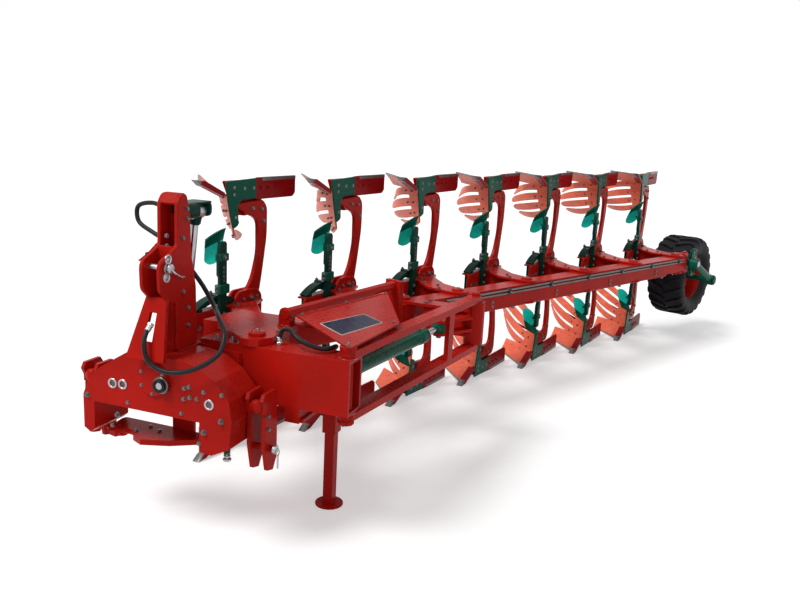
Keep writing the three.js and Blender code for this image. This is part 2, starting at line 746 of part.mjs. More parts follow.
// Cross box with the turnover shaft, the width cylinder's lug and the stand's shelf and sleeve
function crossBox() {
  const discRear = boxFront - bite * 2;
  const discFront = boxFront + clevisPlate;
  const wing = [
    ...arc([0, 0], crankDisc, Math.PI / 2.2, 2 * Math.PI - Math.PI / 2.2, round),
    [boxOuter / 3, -boxHalf * 0.7],
    [boxOuter / 3, boxHalf * 0.7],
  ];
  const shelfTop = -standShelf + clevisPlate;
  const [footX, footY] = standPlace;
  const grip = standSleeve / 2;
  const inside = standTube / 2 + fit;
  const shelf = [
    [boxFront - boxWall, footY - grip], [boxFront - boxWall, footY + grip * 1.4],
    [footX - grip, footY + grip], [footX - grip, footY - grip],
  ];
  const lug = (low, high) => strap([boxRear + bite, widthFoot[1]], widthFoot, linkBarWidth, low, high);
  const lugLow = widthEyeHalf + fit;
  const lugHigh = lugLow + clevisPlate;
  const body = join(
    block(boxRear, boxFront, boxInner, boxOuter, -boxHalf, boxHalf),
    crossPlate(wing, discRear, discFront),
    bar([discRear, 0, 0], [headDepth - headWall - overrun, 0, 0], shaftRadius, round),
    bar([discRear - bite, -crankRadius, 0], [discFront, -crankRadius, 0], tripPin),
    lug(lugLow, lugHigh),
    lug(-lugHigh, -lugLow),
    block(boxRear, boxFront, footY - grip, footY + grip, -standShelf, bite - boxHalf),
    flatPlate(shelf, -standShelf, shelfTop),
    block(footX - grip, footX + grip, footY - grip, footY + grip, standBottom, shelfTop),
  );
  const bores = [innerPivot, outerPivot].map((pivot) => (
    uprightBore(pivot, -boxHalf - overrun, boxHalf + overrun, linkPin)));
  const hollow = block(boxRear + boxWall, boxFront - boxWall, boxInner - overrun, boxOuter + overrun,
    boxWall - boxHalf, boxHalf - boxWall);
  const way = block(footX - inside, footX + inside, footY - inside, footY + inside,
    standBottom - overrun, shelfTop + overrun);
  const pin = upright(widthFoot, -lugHigh, lugHigh, widthRod);
  return join(cut(body, hollow, bores, way), pin);
}

// Main beam with the yoke on the inner pivot and the stay tube beside it
function mainBeam() {
  const length = lastStation + beamTail;
  const tube = placed(block(-length, beamLead, -half, half, -half, half), beamPlace);
  const core = placed(block(beamWall - length, beamLead - beamWall,
    beamWall - half, half - beamWall, beamWall - half, half - beamWall), beamPlace);
  const yokeBlock = flatPlate(scaled(yokeBlockShares, beamSize), -linkHigh, linkHigh);
  const yokeHollow = flatPlate(scaled(yokeHollowShares, beamSize), -linkLow, linkLow);
  const windowX = scaled(yokeBlockShares, beamSize)[2][0];
  const window = block(windowX - overrun, windowX + yokeWall * 2, beamSize * 0.8, beamSize * 1.8,
    -beamSize * 0.6, beamSize * 0.6);
  const yokePlates = withMirror(flatPlate(scaled(yokePlateShares, beamSize), linkLow, linkHigh));
  const foot = placed(block(-stayStation - stayFoot / 2, -stayStation + stayFoot / 2,
    bracketReach + fit * 10, half * 3, -half * 0.6, stayHeight + stayRadius), beamPlace);
  const footWeld = placed(block(-stayStation - stayFoot / 2, -stayStation + stayFoot / 2,
    half - bite, half * 2, -half * 0.6, half * 0.6), beamPlace);
  const [sx, sy] = stayStart;
  const saddleBlock = block(sx - saddle / 2, sx + saddle / 2, sy - stayRadius, sy + stayRadius,
    linkHigh - bite, stayHeight);
  const stay = bar([...stayLine[0], stayHeight], [...stayLine[1], stayHeight], stayRadius);
  const bores = bodyPlaces.map((at) => placed(
    uprightBore([0, 0], -half - overrun, half + overrun, bracketPin, least), at));
  const crossBore = uprightBore(crossheadPivot, -half - overrun, half + overrun, bracketPin);
  const ears = withMirror(placed(flatPlate([
    [beamWall * 2 - length, half], [-swivelStation, swivelBarrel + bite],
    ...arc([-swivelStation, 0], swivelBarrel + bite, Math.PI / 2, 3 * Math.PI / 2, small / 2),
    [-swivelStation, -swivelBarrel - bite], [beamWall * 2 - length, -half],
  ], half - bite, half + beamWall * 2), beamPlace));
  const swivel = placed(upright(inWheel(swivelPlace), -half - beamWall * 2, half + beamWall * 2,
    swivelPin), wheelMiddle);
  const body = join(cut(yokeBlock, yokeHollow, window), yokePlates, tube, foot, footWeld, saddleBlock,
    stay, ears, coverArm());
  const pin = upright(innerPivot, -linkHigh - headThickness, linkHigh + headThickness, linkPin);
  const heads = withMirror(upright(innerPivot, linkHigh - bite, linkHigh + headThickness, pinHead));
  return join(cut(body, core, bores, crossBore), pin, heads, swivel);
}

// Height of the cover's underside over a plan point
function coverHeight(x, y) {
  return coverBase + coverSlopeX * x + coverSlopeY * y;
}

// Arm and posts under the cover, as parts of the main beam
function coverArm() {
  const low = linkHigh + bite;
  const high = low + headThickness;
  const [x, y] = stayStart;
  const end = outerPivotY;
  const arm = block(x - saddle / 2, x, y, end, low, high);
  const weld = block(x - saddle / 2, x, y, y + linkBar, linkHigh - bite, high);
  const top = Math.min(coverHeight(x, end), coverHeight(x - saddle / 2, end)) - fit;
  const post = block(x - saddle / 2, x, end - linkBar, end, low, top);
  return [arm, weld, post];
}

// Cover sheet with a folded skirt, lying on its posts
function coverPanel() {
  const [[ax, ay], [bx, by]] = stayLine;
  const stayAt = (x) => ay + ((x - ax) * (by - ay)) / (bx - ax);
  const corners = [
    ...scaled(coverOuterShares, coverLength).map(([x, aside]) => [x, boxOuter + aside]),
    ...scaled(coverInnerShares, coverLength).map(([x, aside]) => [x, stayAt(x) + aside]),
  ];
  const centre = corners.reduce(sum).map((value) => value / corners.length);
  const shrink = 1 - (coverPlate * 4) / coverLength;
  const inner = corners.map(([x, y]) => [
    centre[0] + (x - centre[0]) * shrink, centre[1] + (y - centre[1]) * shrink]);
  const slope = new THREE.Matrix4().set(
    1, 0, 0, 0, 0, 1, 0, 0, coverSlopeX, coverSlopeY, 1, coverBase, 0, 0, 0, 1);
  const outer = placed(flatPlate(corners, -coverSkirt / 4, coverPlate), slope);
  const hollow = placed(flatPlate(inner, -coverSkirt, 0), slope);
  return cut(outer, hollow);
}

// Outer link: a bar above and below, their post and the front pin
function outerLink() {
  const along = (share) => [
    outerPivot[0] + (crossheadOuter[0] - outerPivot[0]) * share,
    outerPivot[1] + (crossheadOuter[1] - outerPivot[1]) * share,
  ];
  const bars = withMirror(strap(outerPivot, crossheadOuter, linkBarWidth, linkLow, linkHigh));
  const length = Math.hypot(crossheadOuter[0] - outerPivot[0], crossheadOuter[1] - outerPivot[1]);
  const turn = Math.atan2(crossheadOuter[1] - outerPivot[1], crossheadOuter[0] - outerPivot[0]);
  const post = placed(block(-postLength / 2, postLength / 2, -linkBarWidth / 2,
    postWidth - linkBarWidth / 2, -linkLow - bite, linkLow + bite), place(along(postShare), 0, turn));
  const pin = upright(outerPivot, -linkHigh, linkHigh, linkPin);
  const heads = withMirror(upright(outerPivot, linkHigh - bite, linkHigh + headThickness, pinHead));
  const bores = uprightBore(crossheadOuter, -linkHigh - overrun, linkHigh + overrun, linkPin - bite);
  return cut(join(bars, post, pin, heads), bores);
}

// Crosshead carrying the outer link, the width cylinder's lug and the steering stud
function crosshead() {
  const plates = withMirror(strap(crossheadPivot, crossheadOuter, bracketReach * 1.5, plateLow, plateHigh));
  const clear = half * 2.2;
  const post = upright(crossheadOuter, -boxHalf, boxHalf, bracketReach * 0.8, round);
  const web = block(crossheadPivot[0] - bracketReach / 2, crossheadPivot[0] + bracketReach / 2,
    crossheadPivot[1] + clear, crossheadOuter[1], -plateLow - bite, plateLow + bite);
  const pin = upright(crossheadPivot, -plateHigh, plateHigh, bracketPin);
  const heads = withMirror(upright(crossheadPivot, plateHigh - bite, plateHigh + headThickness, pinHead));
  const outerPin = upright(crossheadOuter, -linkHigh - headThickness, linkHigh + headThickness,
    linkPin - bite);
  const lugLow = widthEyeHalf + fit * 10;
  const lugHigh = lugLow + clevisPlate;
  const lugs = withMirror(strap(crossheadOuter, widthHead, linkBarWidth, lugLow, lugHigh));
  const lugPin = upright(widthHead, -lugHigh, lugHigh, widthRod);
  const steer = sum(crossheadPivot, heading(steeringArm));
  const arm = strap(crossheadPivot, steer, bracketReach, -plateHigh, -plateLow);
  return join(plates, post, web, pin, heads, outerPin, lugs, lugPin, arm, steeringStud(steer));
}

function steeringStud(at) {
  return upright(at, steeringRodZ - steeringRod, -plateLow - bite, steeringPin, least);
}

// Steering rod under the beam with an upright hole for every bracket
function steeringRodShape() {
  const aside = heading(steeringArm);
  const end = steeringRod * 2;
  const along = (distance) => [...sum(station(distance), aside), steeringRodZ];
  const hole = (at) => uprightBore(at, steeringRodZ - steeringRod - overrun,
    steeringRodZ + steeringRod + overrun, steeringPin, least);
  const holes = [
    ...bodyPlaces.map((at) => placed(hole(steeringArm), at)),
    hole(sum(crossheadPivot, aside)),
  ];
  return cut(bar(along(-end), along(lastStation + end), steeringRod, small), holes);
}

// Width cylinder: barrel on the box's lug, rod to the crosshead's lug
const widthLine = (distance) => {
  const [fx, fy] = widthFoot;
  const length = Math.hypot(widthHead[0] - fx, widthHead[1] - fy);
  const share = distance / length;
  return [fx + (widthHead[0] - fx) * share, fy + (widthHead[1] - fy) * share, 0];
};
const widthLength = Math.hypot(widthHead[0] - widthFoot[0], widthHead[1] - widthFoot[1]);

function widthBarrelShape() {
  const eye = upright(widthFoot, -widthEyeHalf, widthEyeHalf, widthEye, round);
  const body = join(
    eye,
    bar(widthLine(widthEye / 2), widthLine(widthBarrel * 2), widthEyeHalf),
    bar(widthLine(widthBarrel * 1.6), widthLine(barrelLength), widthBarrel, round),
  );
  const way = bar(widthLine(barrelLength - rodOverlap * 1.4), widthLine(barrelLength + overrun),
    widthRod + fit, small);
  return cut(body, way, uprightBore(widthFoot, -widthBarrel, widthBarrel, widthRod));
}

function widthRodShape() {
  const eye = upright(widthHead, -widthEyeHalf, widthEyeHalf, widthEye, round);
  const rod = bar(widthLine(barrelLength - rodOverlap), widthLine(widthLength - widthEye / 1.4), widthRod);
  return cut(join(eye, rod), upright(widthHead, -widthBarrel, widthBarrel, widthRod + openPivot));
}

// Body bracket in the bodies' heading: plates on the beam, cheeks, trip pins and leaf packs
function bracket() {
  const plan = [
    ...arc([0, 0], bracketReach, Math.PI * 1.05, 0, small / 2), ...scaled(bracketPlanShares, legOffset)];
  const plates = withMirror(flatPlate(plan, plateLow, plateHigh));
  const inner = [-legOffset + legThickness / 2 + fit, -legOffset + legThickness / 2 + fit + cheek];
  const outer = [-legOffset - legThickness / 2 - fit - cheek, -legOffset - legThickness / 2 - fit];
  const ribs = [-bracketReach * 1.6, tripPivotX + tripPin].map((x) => block(x - legThickness / 2,
    x + legThickness / 2, inner[0] + bite, -bracketReach, -plateLow - bite, plateLow + bite));
  const beamWay = placed(block(-beamSize * 6, beamSize * 3, -half - steeringRod, half * 4,
    -beamSize, beamSize), place([0, 0], 0, -furrowAngle));
  const ribsInPlan = join(ribs).intersect(solid(flatPlate(plan, -plateHigh, plateHigh)));
  const pinEnds = [outer[0] + bite, inner[1] - bite];
  const pins = withMirror(bar([tripPivotX, pinEnds[0], tripPivotZ], [tripPivotX, pinEnds[1], tripPivotZ],
    tripPin, least));
  const packs = withMirror(sidePlate(scaled(packShares, legOffset),
    -legOffset - packWidth / 2, -legOffset + packWidth / 2));
  const carrier = sidePlate(scaled(carrierShares, legOffset), outer[1] - bite, inner[0] + bite);
  const pivot = upright([0, 0], -plateHigh, plateHigh, bracketPin, least);
  const heads = withMirror(upright([0, 0], plateHigh - bite, plateHigh + headThickness, pinHead, least));
  return join(
    plates, cut(ribsInPlan, beamWay),
    sidePlate(scaled(cheekShares, legOffset), ...inner),
    sidePlate(scaled(outerCheekShares, legOffset), ...outer),
    pins, packs, carrier, pivot, heads, steeringStud(steeringArm),
  );
}

// Leg with its round head on the trip pin
function leg() {
  const low = -legOffset - legThickness / 2;
  const high = -legOffset + legThickness / 2;
  const foot = scaled(footShares, landsideLength).map(([x, up]) => [tipAhead + x, shareDepth - up]);
  const body = join(
    sidePlate([...scaled(legShares, shareDepth), ...foot], low, high),
    bar([tripPivotX, low, tripPivotZ], [tripPivotX, high, tripPivotZ], tripBoss + tripPin, round),
  );
  return cut(body, bore([tripPivotX, low - overrun, tripPivotZ], [tripPivotX, high + overrun, tripPivotZ],
    tripPin, least));
}

// Plough bottom with its share tip at the origin, heights upwards
function bottom() {
  const shape = (shares) => scaled(shares, landsideLength);
  const share = patch(shape(shareShares));
  const board = patch(shape(boardShares));
  const keeps = (i, j) => i < breastCells || j % 2 === 0;
  const legFace = landsideOffset - legOffset - legThickness / 2 - fit;
  const frog = join(
    sidePlate(shape(frogShares), -landsidePlate - frogPlate, bite - landsidePlate),
    sidePlate(shape(frogBackingShares), legFace - frogBacking, legFace),
  );
  const [root] = shape([strutRootShare[0]]);
  const tip = offPatch(board, 0.8, 0.5, -boardPlate / 2).toArray();
  return join(
    frog,
    sidePlate(shape(pointShares), -pointWidth, 0),
    sidePlate(shape(landsideShares), -landsidePlate, 0),
    sheet(share, steps(1), steps(1), -sharePlate, 0),
    sheet(board, steps(boardAcross), steps(boardUp), -boardPlate, 0, keeps),
    bar(root, tip, strutRadius, small / 2),
  );
}

// Skimmers on one long stem: a cutting blade and a small board at each end
function skimmerPair() {
  const face = -legOffset + legThickness / 2 + fit * 2 + cheek;
  const stem = sidePlate(scaled(stemShares, stemReach), face, face + stemWidth);
  const blade = patch(scaled(bladeShares, stemReach));
  return join(stem, withMirror(sheet(blade, steps(2), steps(2), -bladePlate, 0)));
}

// Tail swivel between the beam's ears with the arm's stub
function wheelSwivel() {
  const [u, v] = inWheel(swivelPlace);
  const barrel = upright([u, v], -half + fit + bite * 2, half - fit - bite * 2, swivelBarrel, round);
  const boss = bar([u, v, 0], [u, armOffset - armRadius, 0], swivelBarrel * 0.9, small);
  const stub = bar([u, v, 0], [u, armOffset + armRadius, 0], stubRadius, small);
  const way = uprightBore([u, v], -beamSize, beamSize, swivelPin);
  return placed(cut(join(barrel, boss, stub), way), wheelMiddle);
}

function wheelArm() {
  const [u] = inWheel(swivelPlace);
  const ends = [armOffset - armRadius + fit * 2, armOffset + armRadius];
  const eye = bar([u, ends[0], 0], [u, ends[1], 0], armRadius * 1.5, round);
  const tube = bar([u, armOffset, 0], [0, armOffset, -wheelDrop], armRadius);
  const boss = bar([0, ends[0], -wheelDrop], [0, ends[1], -wheelDrop], armRadius * 1.5, round);
  const spindle = bar([0, armOffset, -wheelDrop], [0, -hubRadius, -wheelDrop], axleRadius, small);
  const way = bore([u, 0, 0], [u, armOffset * 2, 0], stubRadius);
  return placed(join(cut(join(eye, tube), way), boss, spindle), wheelMiddle);
}

function depthWheel() {
  const edge = tyreWidth / 2;
  const rim = wheelRadius * 0.54;
  const tyre = [
    [rim, -edge * 0.7], [wheelRadius * 0.74, -edge], [wheelRadius * 0.93, -edge * 0.96],
    [wheelRadius, -edge * 0.74], [wheelRadius, edge * 0.74], [wheelRadius * 0.93, edge * 0.96],
    [wheelRadius * 0.74, edge], [rim, edge * 0.7], [rim, -edge * 0.7],
  ];
  const disc = bar([0, 0, -wheelDrop], [0, beamWall * 2, -wheelDrop], rim + bite, round);
  const hubEnd = hubRadius + overrun * 3;
  const hub = bar([0, -hubEnd, -wheelDrop], [0, hubRadius * 2, -wheelDrop], hubRadius, round);
  const way = bore([0, -hubRadius - fit * 2, -wheelDrop], [0, armOffset, -wheelDrop], axleRadius);
  const body = join(turned(tyre, [0, 0, -wheelDrop], [0, 1, 0]), disc, hub);
  return placed(cut(body, way), wheelMiddle);
}

// Parking stand: square leg in the sleeve and its round foot
function parkingStand() {
  const [x, y] = standPlace;
  const reach = standTube / 2;
  const foot = upright(standPlace, -shareDepth, -shareDepth + headThickness, standFoot, round);
  const top = -standShelf + standSleeve;
  return join(foot, block(x - reach, x + reach, y - reach, y + reach, -shareDepth + bite, top));
}

addNode('headstock_frame', headstockFrame(), 'red');
addNode('mast', mast(), 'red');
addNode('hitch_tongue', hitchTongue(), 'red');
addNode('turnover_cylinder', turnoverCylinder(), 'chrome');
addNode('cross_box', crossBox(), 'red');
addNode('main_beam', mainBeam(), 'red');
addNode('outer_link', outerLink(), 'red');
addNode('cover_panel', coverPanel(), 'red');
addNode('crosshead', crosshead(), 'red');
addNode('steering_rod', steeringRodShape(), 'red');
addNode('width_cylinder_barrel', widthBarrelShape(), 'green');
addNode('width_cylinder_rod', widthRodShape(), 'chrome');
addNode('parking_stand', parkingStand(), 'red');
addNode('mast_hose', hose(scaled(mastHoseShares, mastTop), mastHoseSteps), 'hose');
const frameHoseRoute = scaled(frameHoseShares, [boxDepth, boxOuter - frameHoseInner, boxHeight])
  .map(([x, y, z]) => [x, y + frameHoseInner, z]);
addNode('frame_hose', hose(frameHoseRoute, frameHoseSteps), 'hose');
addNode('wheel_swivel', wheelSwivel(), 'green');
addNode('wheel_arm', wheelArm(), 'green');
addNode('depth_wheel', depthWheel(), 'rubber');

// The seven furrow bodies, each with its bracket, two legs, two bottoms and a pair of skimmers
const bracketShape = geometryOf(bracket());
const legShape = geometryOf(leg());
const bottomShape = geometryOf(bottom());
const skimmerShape = geometryOf(skimmerPair());
const bottomPlace = place([tipAhead, -landsideOffset], -shareDepth);
bodyPlaces.forEach((at, i) => {
  const upper = at.clone().multiply(mirrorUp);
  addNode(`bracket_${i + 1}`, placed(bracketShape, at), 'red');
  addNode(`upper_leg_${i + 1}`, placed(legShape, at), 'red');
  addNode(`lower_leg_${i + 1}`, placed(legShape, upper), 'red');
  addNode(`upper_body_${i + 1}`, placed(bottomShape, upper.clone().multiply(bottomPlace)), 'coral');
  addNode(`lower_body_${i + 1}`, placed(bottomShape, at.clone().multiply(bottomPlace)), 'coral');
  addNode(`skimmer_pair_${i + 1}`, placed(skimmerShape, at), 'green');
});

// Stand the whole group on the ground with its origin under its middle
const extent = new THREE.Box3();
for (const mesh of plough.children) {
  mesh.geometry.computeBoundingBox();
  extent.union(mesh.geometry.boundingBox);
}
const middle = extent.getCenter(new THREE.Vector3());
for (const mesh of plough.children) {
  mesh.geometry.translate(-middle.x, -middle.y, -extent.min.z);
  mesh.geometry.computeVertexNormals();
}

export default plough;
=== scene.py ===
"""Looks of the seven-furrow reversible plough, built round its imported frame."""
from math import cos, pi, radians, sin, sqrt

import bpy
from mathutils import Matrix, Vector


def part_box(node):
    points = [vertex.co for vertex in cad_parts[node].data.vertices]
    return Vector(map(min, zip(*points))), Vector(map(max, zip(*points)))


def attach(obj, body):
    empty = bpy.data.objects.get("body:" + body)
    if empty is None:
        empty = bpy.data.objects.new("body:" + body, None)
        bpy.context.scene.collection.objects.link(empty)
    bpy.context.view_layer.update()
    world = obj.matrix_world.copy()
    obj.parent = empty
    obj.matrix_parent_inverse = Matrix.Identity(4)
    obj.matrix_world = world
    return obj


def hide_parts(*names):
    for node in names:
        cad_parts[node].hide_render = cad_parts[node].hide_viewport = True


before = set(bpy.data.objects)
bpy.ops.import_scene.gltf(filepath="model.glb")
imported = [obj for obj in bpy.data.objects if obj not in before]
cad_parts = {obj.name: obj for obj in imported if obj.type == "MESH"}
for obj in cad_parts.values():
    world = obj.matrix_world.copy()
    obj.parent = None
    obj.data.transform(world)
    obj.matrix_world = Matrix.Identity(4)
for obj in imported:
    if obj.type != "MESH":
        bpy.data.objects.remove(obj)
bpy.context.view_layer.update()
scene = bpy.context.scene

# Tables are in millimetres from the turnover axis: +X to the tractor, +Y to the left, +Z up
MM = 0.001
SHAFT_END = 228
BOX_END = 912
AXIS_HEIGHT = 900
box_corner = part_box("cross_box")[1]
ORIGIN = Vector((box_corner.x - SHAFT_END * MM, box_corner.y - BOX_END * MM, AXIS_HEIGHT * MM))
MACHINE = Matrix.Translation(ORIGIN)

FURROWS = 7
SPACING = 850
FIRST_PIVOT = Vector((-714, 86, 0))
ROW = radians(25.3)
HEADING = radians(9)
REAR = Vector((-cos(ROW), sin(ROW), 0))
LEFT = Vector((sin(ROW), cos(ROW), 0))
AHEAD = Vector((1, 0, 0))
Y = Vector((0, 1, 0))
UP = Vector((0, 0, 1))
SIDES = ((1, Y), (-1, -Y))


def station(along, aside=0, z=0):
    """A point along the beam, from the first bracket's pivot."""
    return FIRST_PIVOT + REAR * along + LEFT * aside + UP * z


def placed(point, turn=0):
    """A frame at a point of the tables, turned about the upright."""
    return MACHINE @ Matrix.Translation(Vector(point) * MM) @ Matrix.Rotation(turn, 4, "Z")


# Materials

DUST = (0.45, 0.36, 0.28, 1)
DUST_SHARE = 0.03
PRIMER = (0.20, 0.17, 0.16, 1)
CHIP_REACH = 0.003
DRY_MUD = (0.05, 0.047, 0.042, 1)


def new_tree(name):
    material = bpy.data.materials.new(name)
    material.use_nodes = True
    tree = material.node_tree
    return material, tree, tree.nodes["Principled BSDF"]


def feed(tree, node, inputs):
    """Sets a node's sockets to values, or links them to the outputs of other nodes."""
    for key, value in inputs.items():
        if isinstance(value, bpy.types.NodeSocket):
            tree.links.new(value, node.inputs[key])
        else:
            node.inputs[key].default_value = value


def add(tree, kind, inputs=None, **settings):
    node = tree.nodes.new("ShaderNode" + kind)
    for key, value in settings.items():
        setattr(node, key, value)
    feed(tree, node, inputs or {})
    return node


def rest_places(tree):
    """Places at rest in metres, so that every piece and copy carries its own marks."""
    return add(tree, "TexCoord").outputs["Object"]


def noise(tree, places, scale, detail, roughness=0.55, distortion=0):
    return add(tree, "TexNoise", {
        "Vector": places, "Scale": scale, "Detail": detail, "Roughness": roughness,
        "Distortion": distortion}).outputs["Fac"]


def stretched(tree, places, by):
    return add(tree, "Mapping", {"Vector": places, "Scale": by}).outputs["Vector"]


def span(tree, value, low, high, to_low=0, to_high=1):
    return add(tree, "MapRange", {
        "Value": value, "From Min": low, "From Max": high, "To Min": to_low,
        "To Max": to_high}).outputs["Result"]


def mixed(tree, factor, a, b):
    return add(tree, "Mix", {0: factor, 6: a, 7: b}, data_type="RGBA").outputs[2]


def combined(tree, operation, a, b):
    return add(tree, "Math", {0: a, 1: b}, operation=operation, use_clamp=True).outputs[0]


def bump(tree, height, strength, distance, under=None):
    """A normal with the height on it, laid over another normal where there is one."""
    node = add(tree, "Bump", {"Height": height, "Strength": strength, "Distance": distance})
    if under is not None:
        feed(tree, node, {"Normal": under})
    return node.outputs["Normal"]


def shade(colour, factor):
    return tuple(min(1, c * factor) for c in colour[:3]) + (1,)


def edge_mask(tree):
    """A normal rounded over the edges, and a mask that is white along outer edges."""
    rounded_normal = add(tree, "Bevel", {"Radius": CHIP_REACH}, samples=4).outputs["Normal"]
    true_normal = add(tree, "NewGeometry").outputs["True Normal"]
    dot = add(tree, "VectorMath", {0: rounded_normal, 1: true_normal},
        operation="DOT_PRODUCT").outputs["Value"]
    return rounded_normal, span(tree, dot, 0.985, 0.86)


def paint(name, colour, rough, wear, polish_and_sheen=0.0):
    """Sprayed enamel: uneven tone, orange peel, a little dust, scuffs, chipped edges, and where asked
    polished streaks lightened as painted sheen.
    """
    material, tree, shader = new_tree(name)
    places = rest_places(tree)
    broad = noise(tree, places, 2.2, 3)
    fine = noise(tree, places, 42, 6, 0.7)
    tone = mixed(tree, span(tree, broad, 0.3, 0.7), shade(colour, 0.78), shade(colour, 1.12))
    facing = add(tree, "NewGeometry").outputs["Normal"]
    upward = add(tree, "SeparateXYZ", {0: facing}).outputs["Z"]
    settled = combined(tree, "MULTIPLY", span(tree, upward, 0.3, 0.95),
        span(tree, fine, 0.42, 0.68, 0, DUST_SHARE))
    tone = mixed(tree, settled, tone, DUST)
    scuff = span(tree, noise(tree, places, 8, 8, 0.75, 0.4), 0.60, 0.67)
    tone = mixed(tree, combined(tree, "MULTIPLY", scuff, 0.22), tone, shade(colour, 0.4))
    # Streaks of polish drawn in a lighter copy of the paint's colour: partly real wear from the soil,
    # partly painted sheen that stands for highlights.
    if polish_and_sheen:
        lines = noise(tree, stretched(tree, places, (1, 1, 5)), 7, 7, 0.65)
        tone = mixed(tree, span(tree, lines, 0.50, 0.64, 0, polish_and_sheen), tone, shade(colour, 1.7))
    rounded_normal, edge = edge_mask(tree)
    chipped = combined(tree, "MULTIPLY", edge, span(tree, fine, 0.52, 0.60, 0, wear))
    feed(tree, shader, {"Base Color": mixed(tree, chipped, tone, PRIMER),
        "Roughness": span(tree, fine, 0.3, 0.75, rough * 0.75, rough * 1.5),
        "Normal": bump(tree, noise(tree, places, 260, 2), 0.08, 0.002, rounded_normal),
        "Coat Weight": 0.04, "Coat Roughness": 0.10, "Specular IOR Level": 0.05})
    return material


def metal(name, colour, rough, scale=60, stretch=(1, 1, 1), metallic=1.0, stain=0.4):
    """Bare or plated steel with brushed lines and darker stains."""
    material, tree, shader = new_tree(name)
    places = rest_places(tree)
    brushed = noise(tree, stretched(tree, places, stretch), scale, 5, 0.6)
    patches = noise(tree, places, 14, 5, 0.65)
    tone = mixed(tree, span(tree, patches, 0.45, 0.7, 0, stain), shade(colour, 1), shade(colour, 0.4))
    feed(tree, shader, {"Base Color": tone,
        "Roughness": span(tree, brushed, 0.3, 0.7, rough * 0.7, rough * 1.4),
        "Normal": bump(tree, brushed, 0.12, 0.001), "Metallic": metallic})
    return material


def rubber(name, colour, rough, dust, scale=30):
    """Black rubber with dust caught in its grain."""
    material, tree, shader = new_tree(name)
    places = rest_places(tree)
    cloud = noise(tree, places, scale * 0.3, 6, 0.7)
    feed(tree, shader, {
        "Base Color": mixed(tree, span(tree, cloud, 0.45, 0.75, 0, dust), shade(colour, 1), DRY_MUD),
        "Roughness": span(tree, cloud, 0.3, 0.7, rough * 0.8, rough * 1.2),
        "Normal": bump(tree, noise(tree, places, scale * 9, 3, 0.6), 0.25, 0.001),
        "Specular IOR Level": 0.15})
    return material


RED = (0.44, 0.009, 0.005)
MATERIALS = {
    "red": paint("red_paint", RED, 0.28, 0.2),
    "dark_red": paint("landside_paint", (0.30, 0.003, 0.006), 0.34, 0.5),
    "coral": paint("board_paint", (0.84, 0.145, 0.075), 0.32, 0.4, polish_and_sheen=0.45),
    "green": paint("green_paint", (0.002, 0.095, 0.058), 0.26, 0.35),
    "dark_green": paint("spring_paint", (0.002, 0.036, 0.025), 0.30, 0.3),
    "turquoise": paint("skimmer_paint", (0.010, 0.66, 0.52), 0.30, 0.5, polish_and_sheen=0.3),
    "navy": paint("plaque_paint", (0.006, 0.012, 0.045), 0.22, 0.2),
    "cream": paint("plaque_border", (0.55, 0.53, 0.46), 0.35, 0.2),
    "steel": metal("zinc_steel", (0.46, 0.46, 0.48), 0.34),
    "bolt": metal("bolt_steel", (0.17, 0.155, 0.155), 0.42),
    "worn_steel": metal("worn_steel", (0.16, 0.15, 0.145), 0.34, 40, (6, 1, 1), 0.9),
    "chrome": metal("chromed_rod", (0.40, 0.41, 0.44), 0.16, 90, (1, 1, 0.05), stain=0.35),
    "hose": rubber("hose_rubber", (0.012, 0.012, 0.014), 0.36, 0.2, 60),
    "rubber": rubber("tyre_rubber", (0.006, 0.006, 0.009), 0.62, 0.25),
    }


# Mesh code

def neighbours(points):
    """Each point of a closed outline with the ones before and after it."""
    points = [Vector(p) for p in points]
    return zip(points, points[-1:] + points[:-1], points[1:] + points[:1])


def rounded(points, radius, steps=3):
    """An outline whose corners are rounded."""
    result = []
    for p, before, after in neighbours(points):
        a, b = before - p, after - p
        reach = min(radius, a.length * 0.45, b.length * 0.45)
        start, end = p + a.normalized() * reach, p + b.normalized() * reach
        for t in spread(0, 1, steps):
            result.append(tuple((1 - t) ** 2 * start + 2 * t * (1 - t) * p + t * t * end))
    return result


def inset(points, distance):
    """An outline moved inwards along its mitred corners."""
    area = sum(p.x * after.y - after.x * p.y for p, before, after in neighbours(points))
    result = []
    for p, before, after in neighbours(points):
        a, b = (p - before).normalized(), (after - p).normalized()
        middle = Vector((-a.y - b.y, a.x + b.x)) * (1 if area > 0 else -1)
        result.append(tuple(p + middle * (distance / max(0.35, middle.length_squared / 2))))
    return result


def spread(low, high, count):
    return [low + (high - low) * i / count for i in range(count + 1)]


def arc(centre, radius, start, end, steps):
    return [(centre[0] + radius * cos(a), centre[1] + radius * sin(a))
        for a in spread(radians(start), radians(end), steps)]


def circle(centre, radius, count, start=0):
    return arc(centre, radius, start, start + 360, count)[:-1]


SPAN_STEPS = 8


def smooth_path(points):
    """A smooth line through the points, its speed eased by their distances."""
    points = [Vector(p) for p in points]
    ends = [points[0] * 2 - points[1]] + points + [points[-1] * 2 - points[-2]]
    line = []
    for i in range(len(points) - 1):
        p0, p1, p2, p3 = ends[i:i + 4]
        d0, d1, d2 = (sqrt((b - a).length) for a, b in ((p0, p1), (p1, p2), (p2, p3)))
        t1 = ((p1 - p0) / d0 - (p2 - p0) / (d0 + d1) + (p2 - p1) / d1) * d1
        t2 = ((p2 - p1) / d1 - (p3 - p1) / (d1 + d2) + (p3 - p2) / d2) * d1
        for t in spread(0, 1, SPAN_STEPS)[:-1]:
            line.append(p1 + t1 * t + (-3 * p1 + 3 * p2 - 2 * t1 - t2) * t ** 2
                + (2 * p1 - 2 * p2 + t1 + t2) * t ** 3)
    return line + [points[-1]]


def patch(control):
    """A curved surface over three rows of three control points."""
    def weights(t):
        return (1 - t) ** 2, 2 * t * (1 - t), t * t

    def at(u, v):
        point = Vector()
        for wu, row in zip(weights(u), control):
            for wv, corner in zip(weights(v), row):
                point += Vector(corner) * (wu * wv)
        return point
    return at


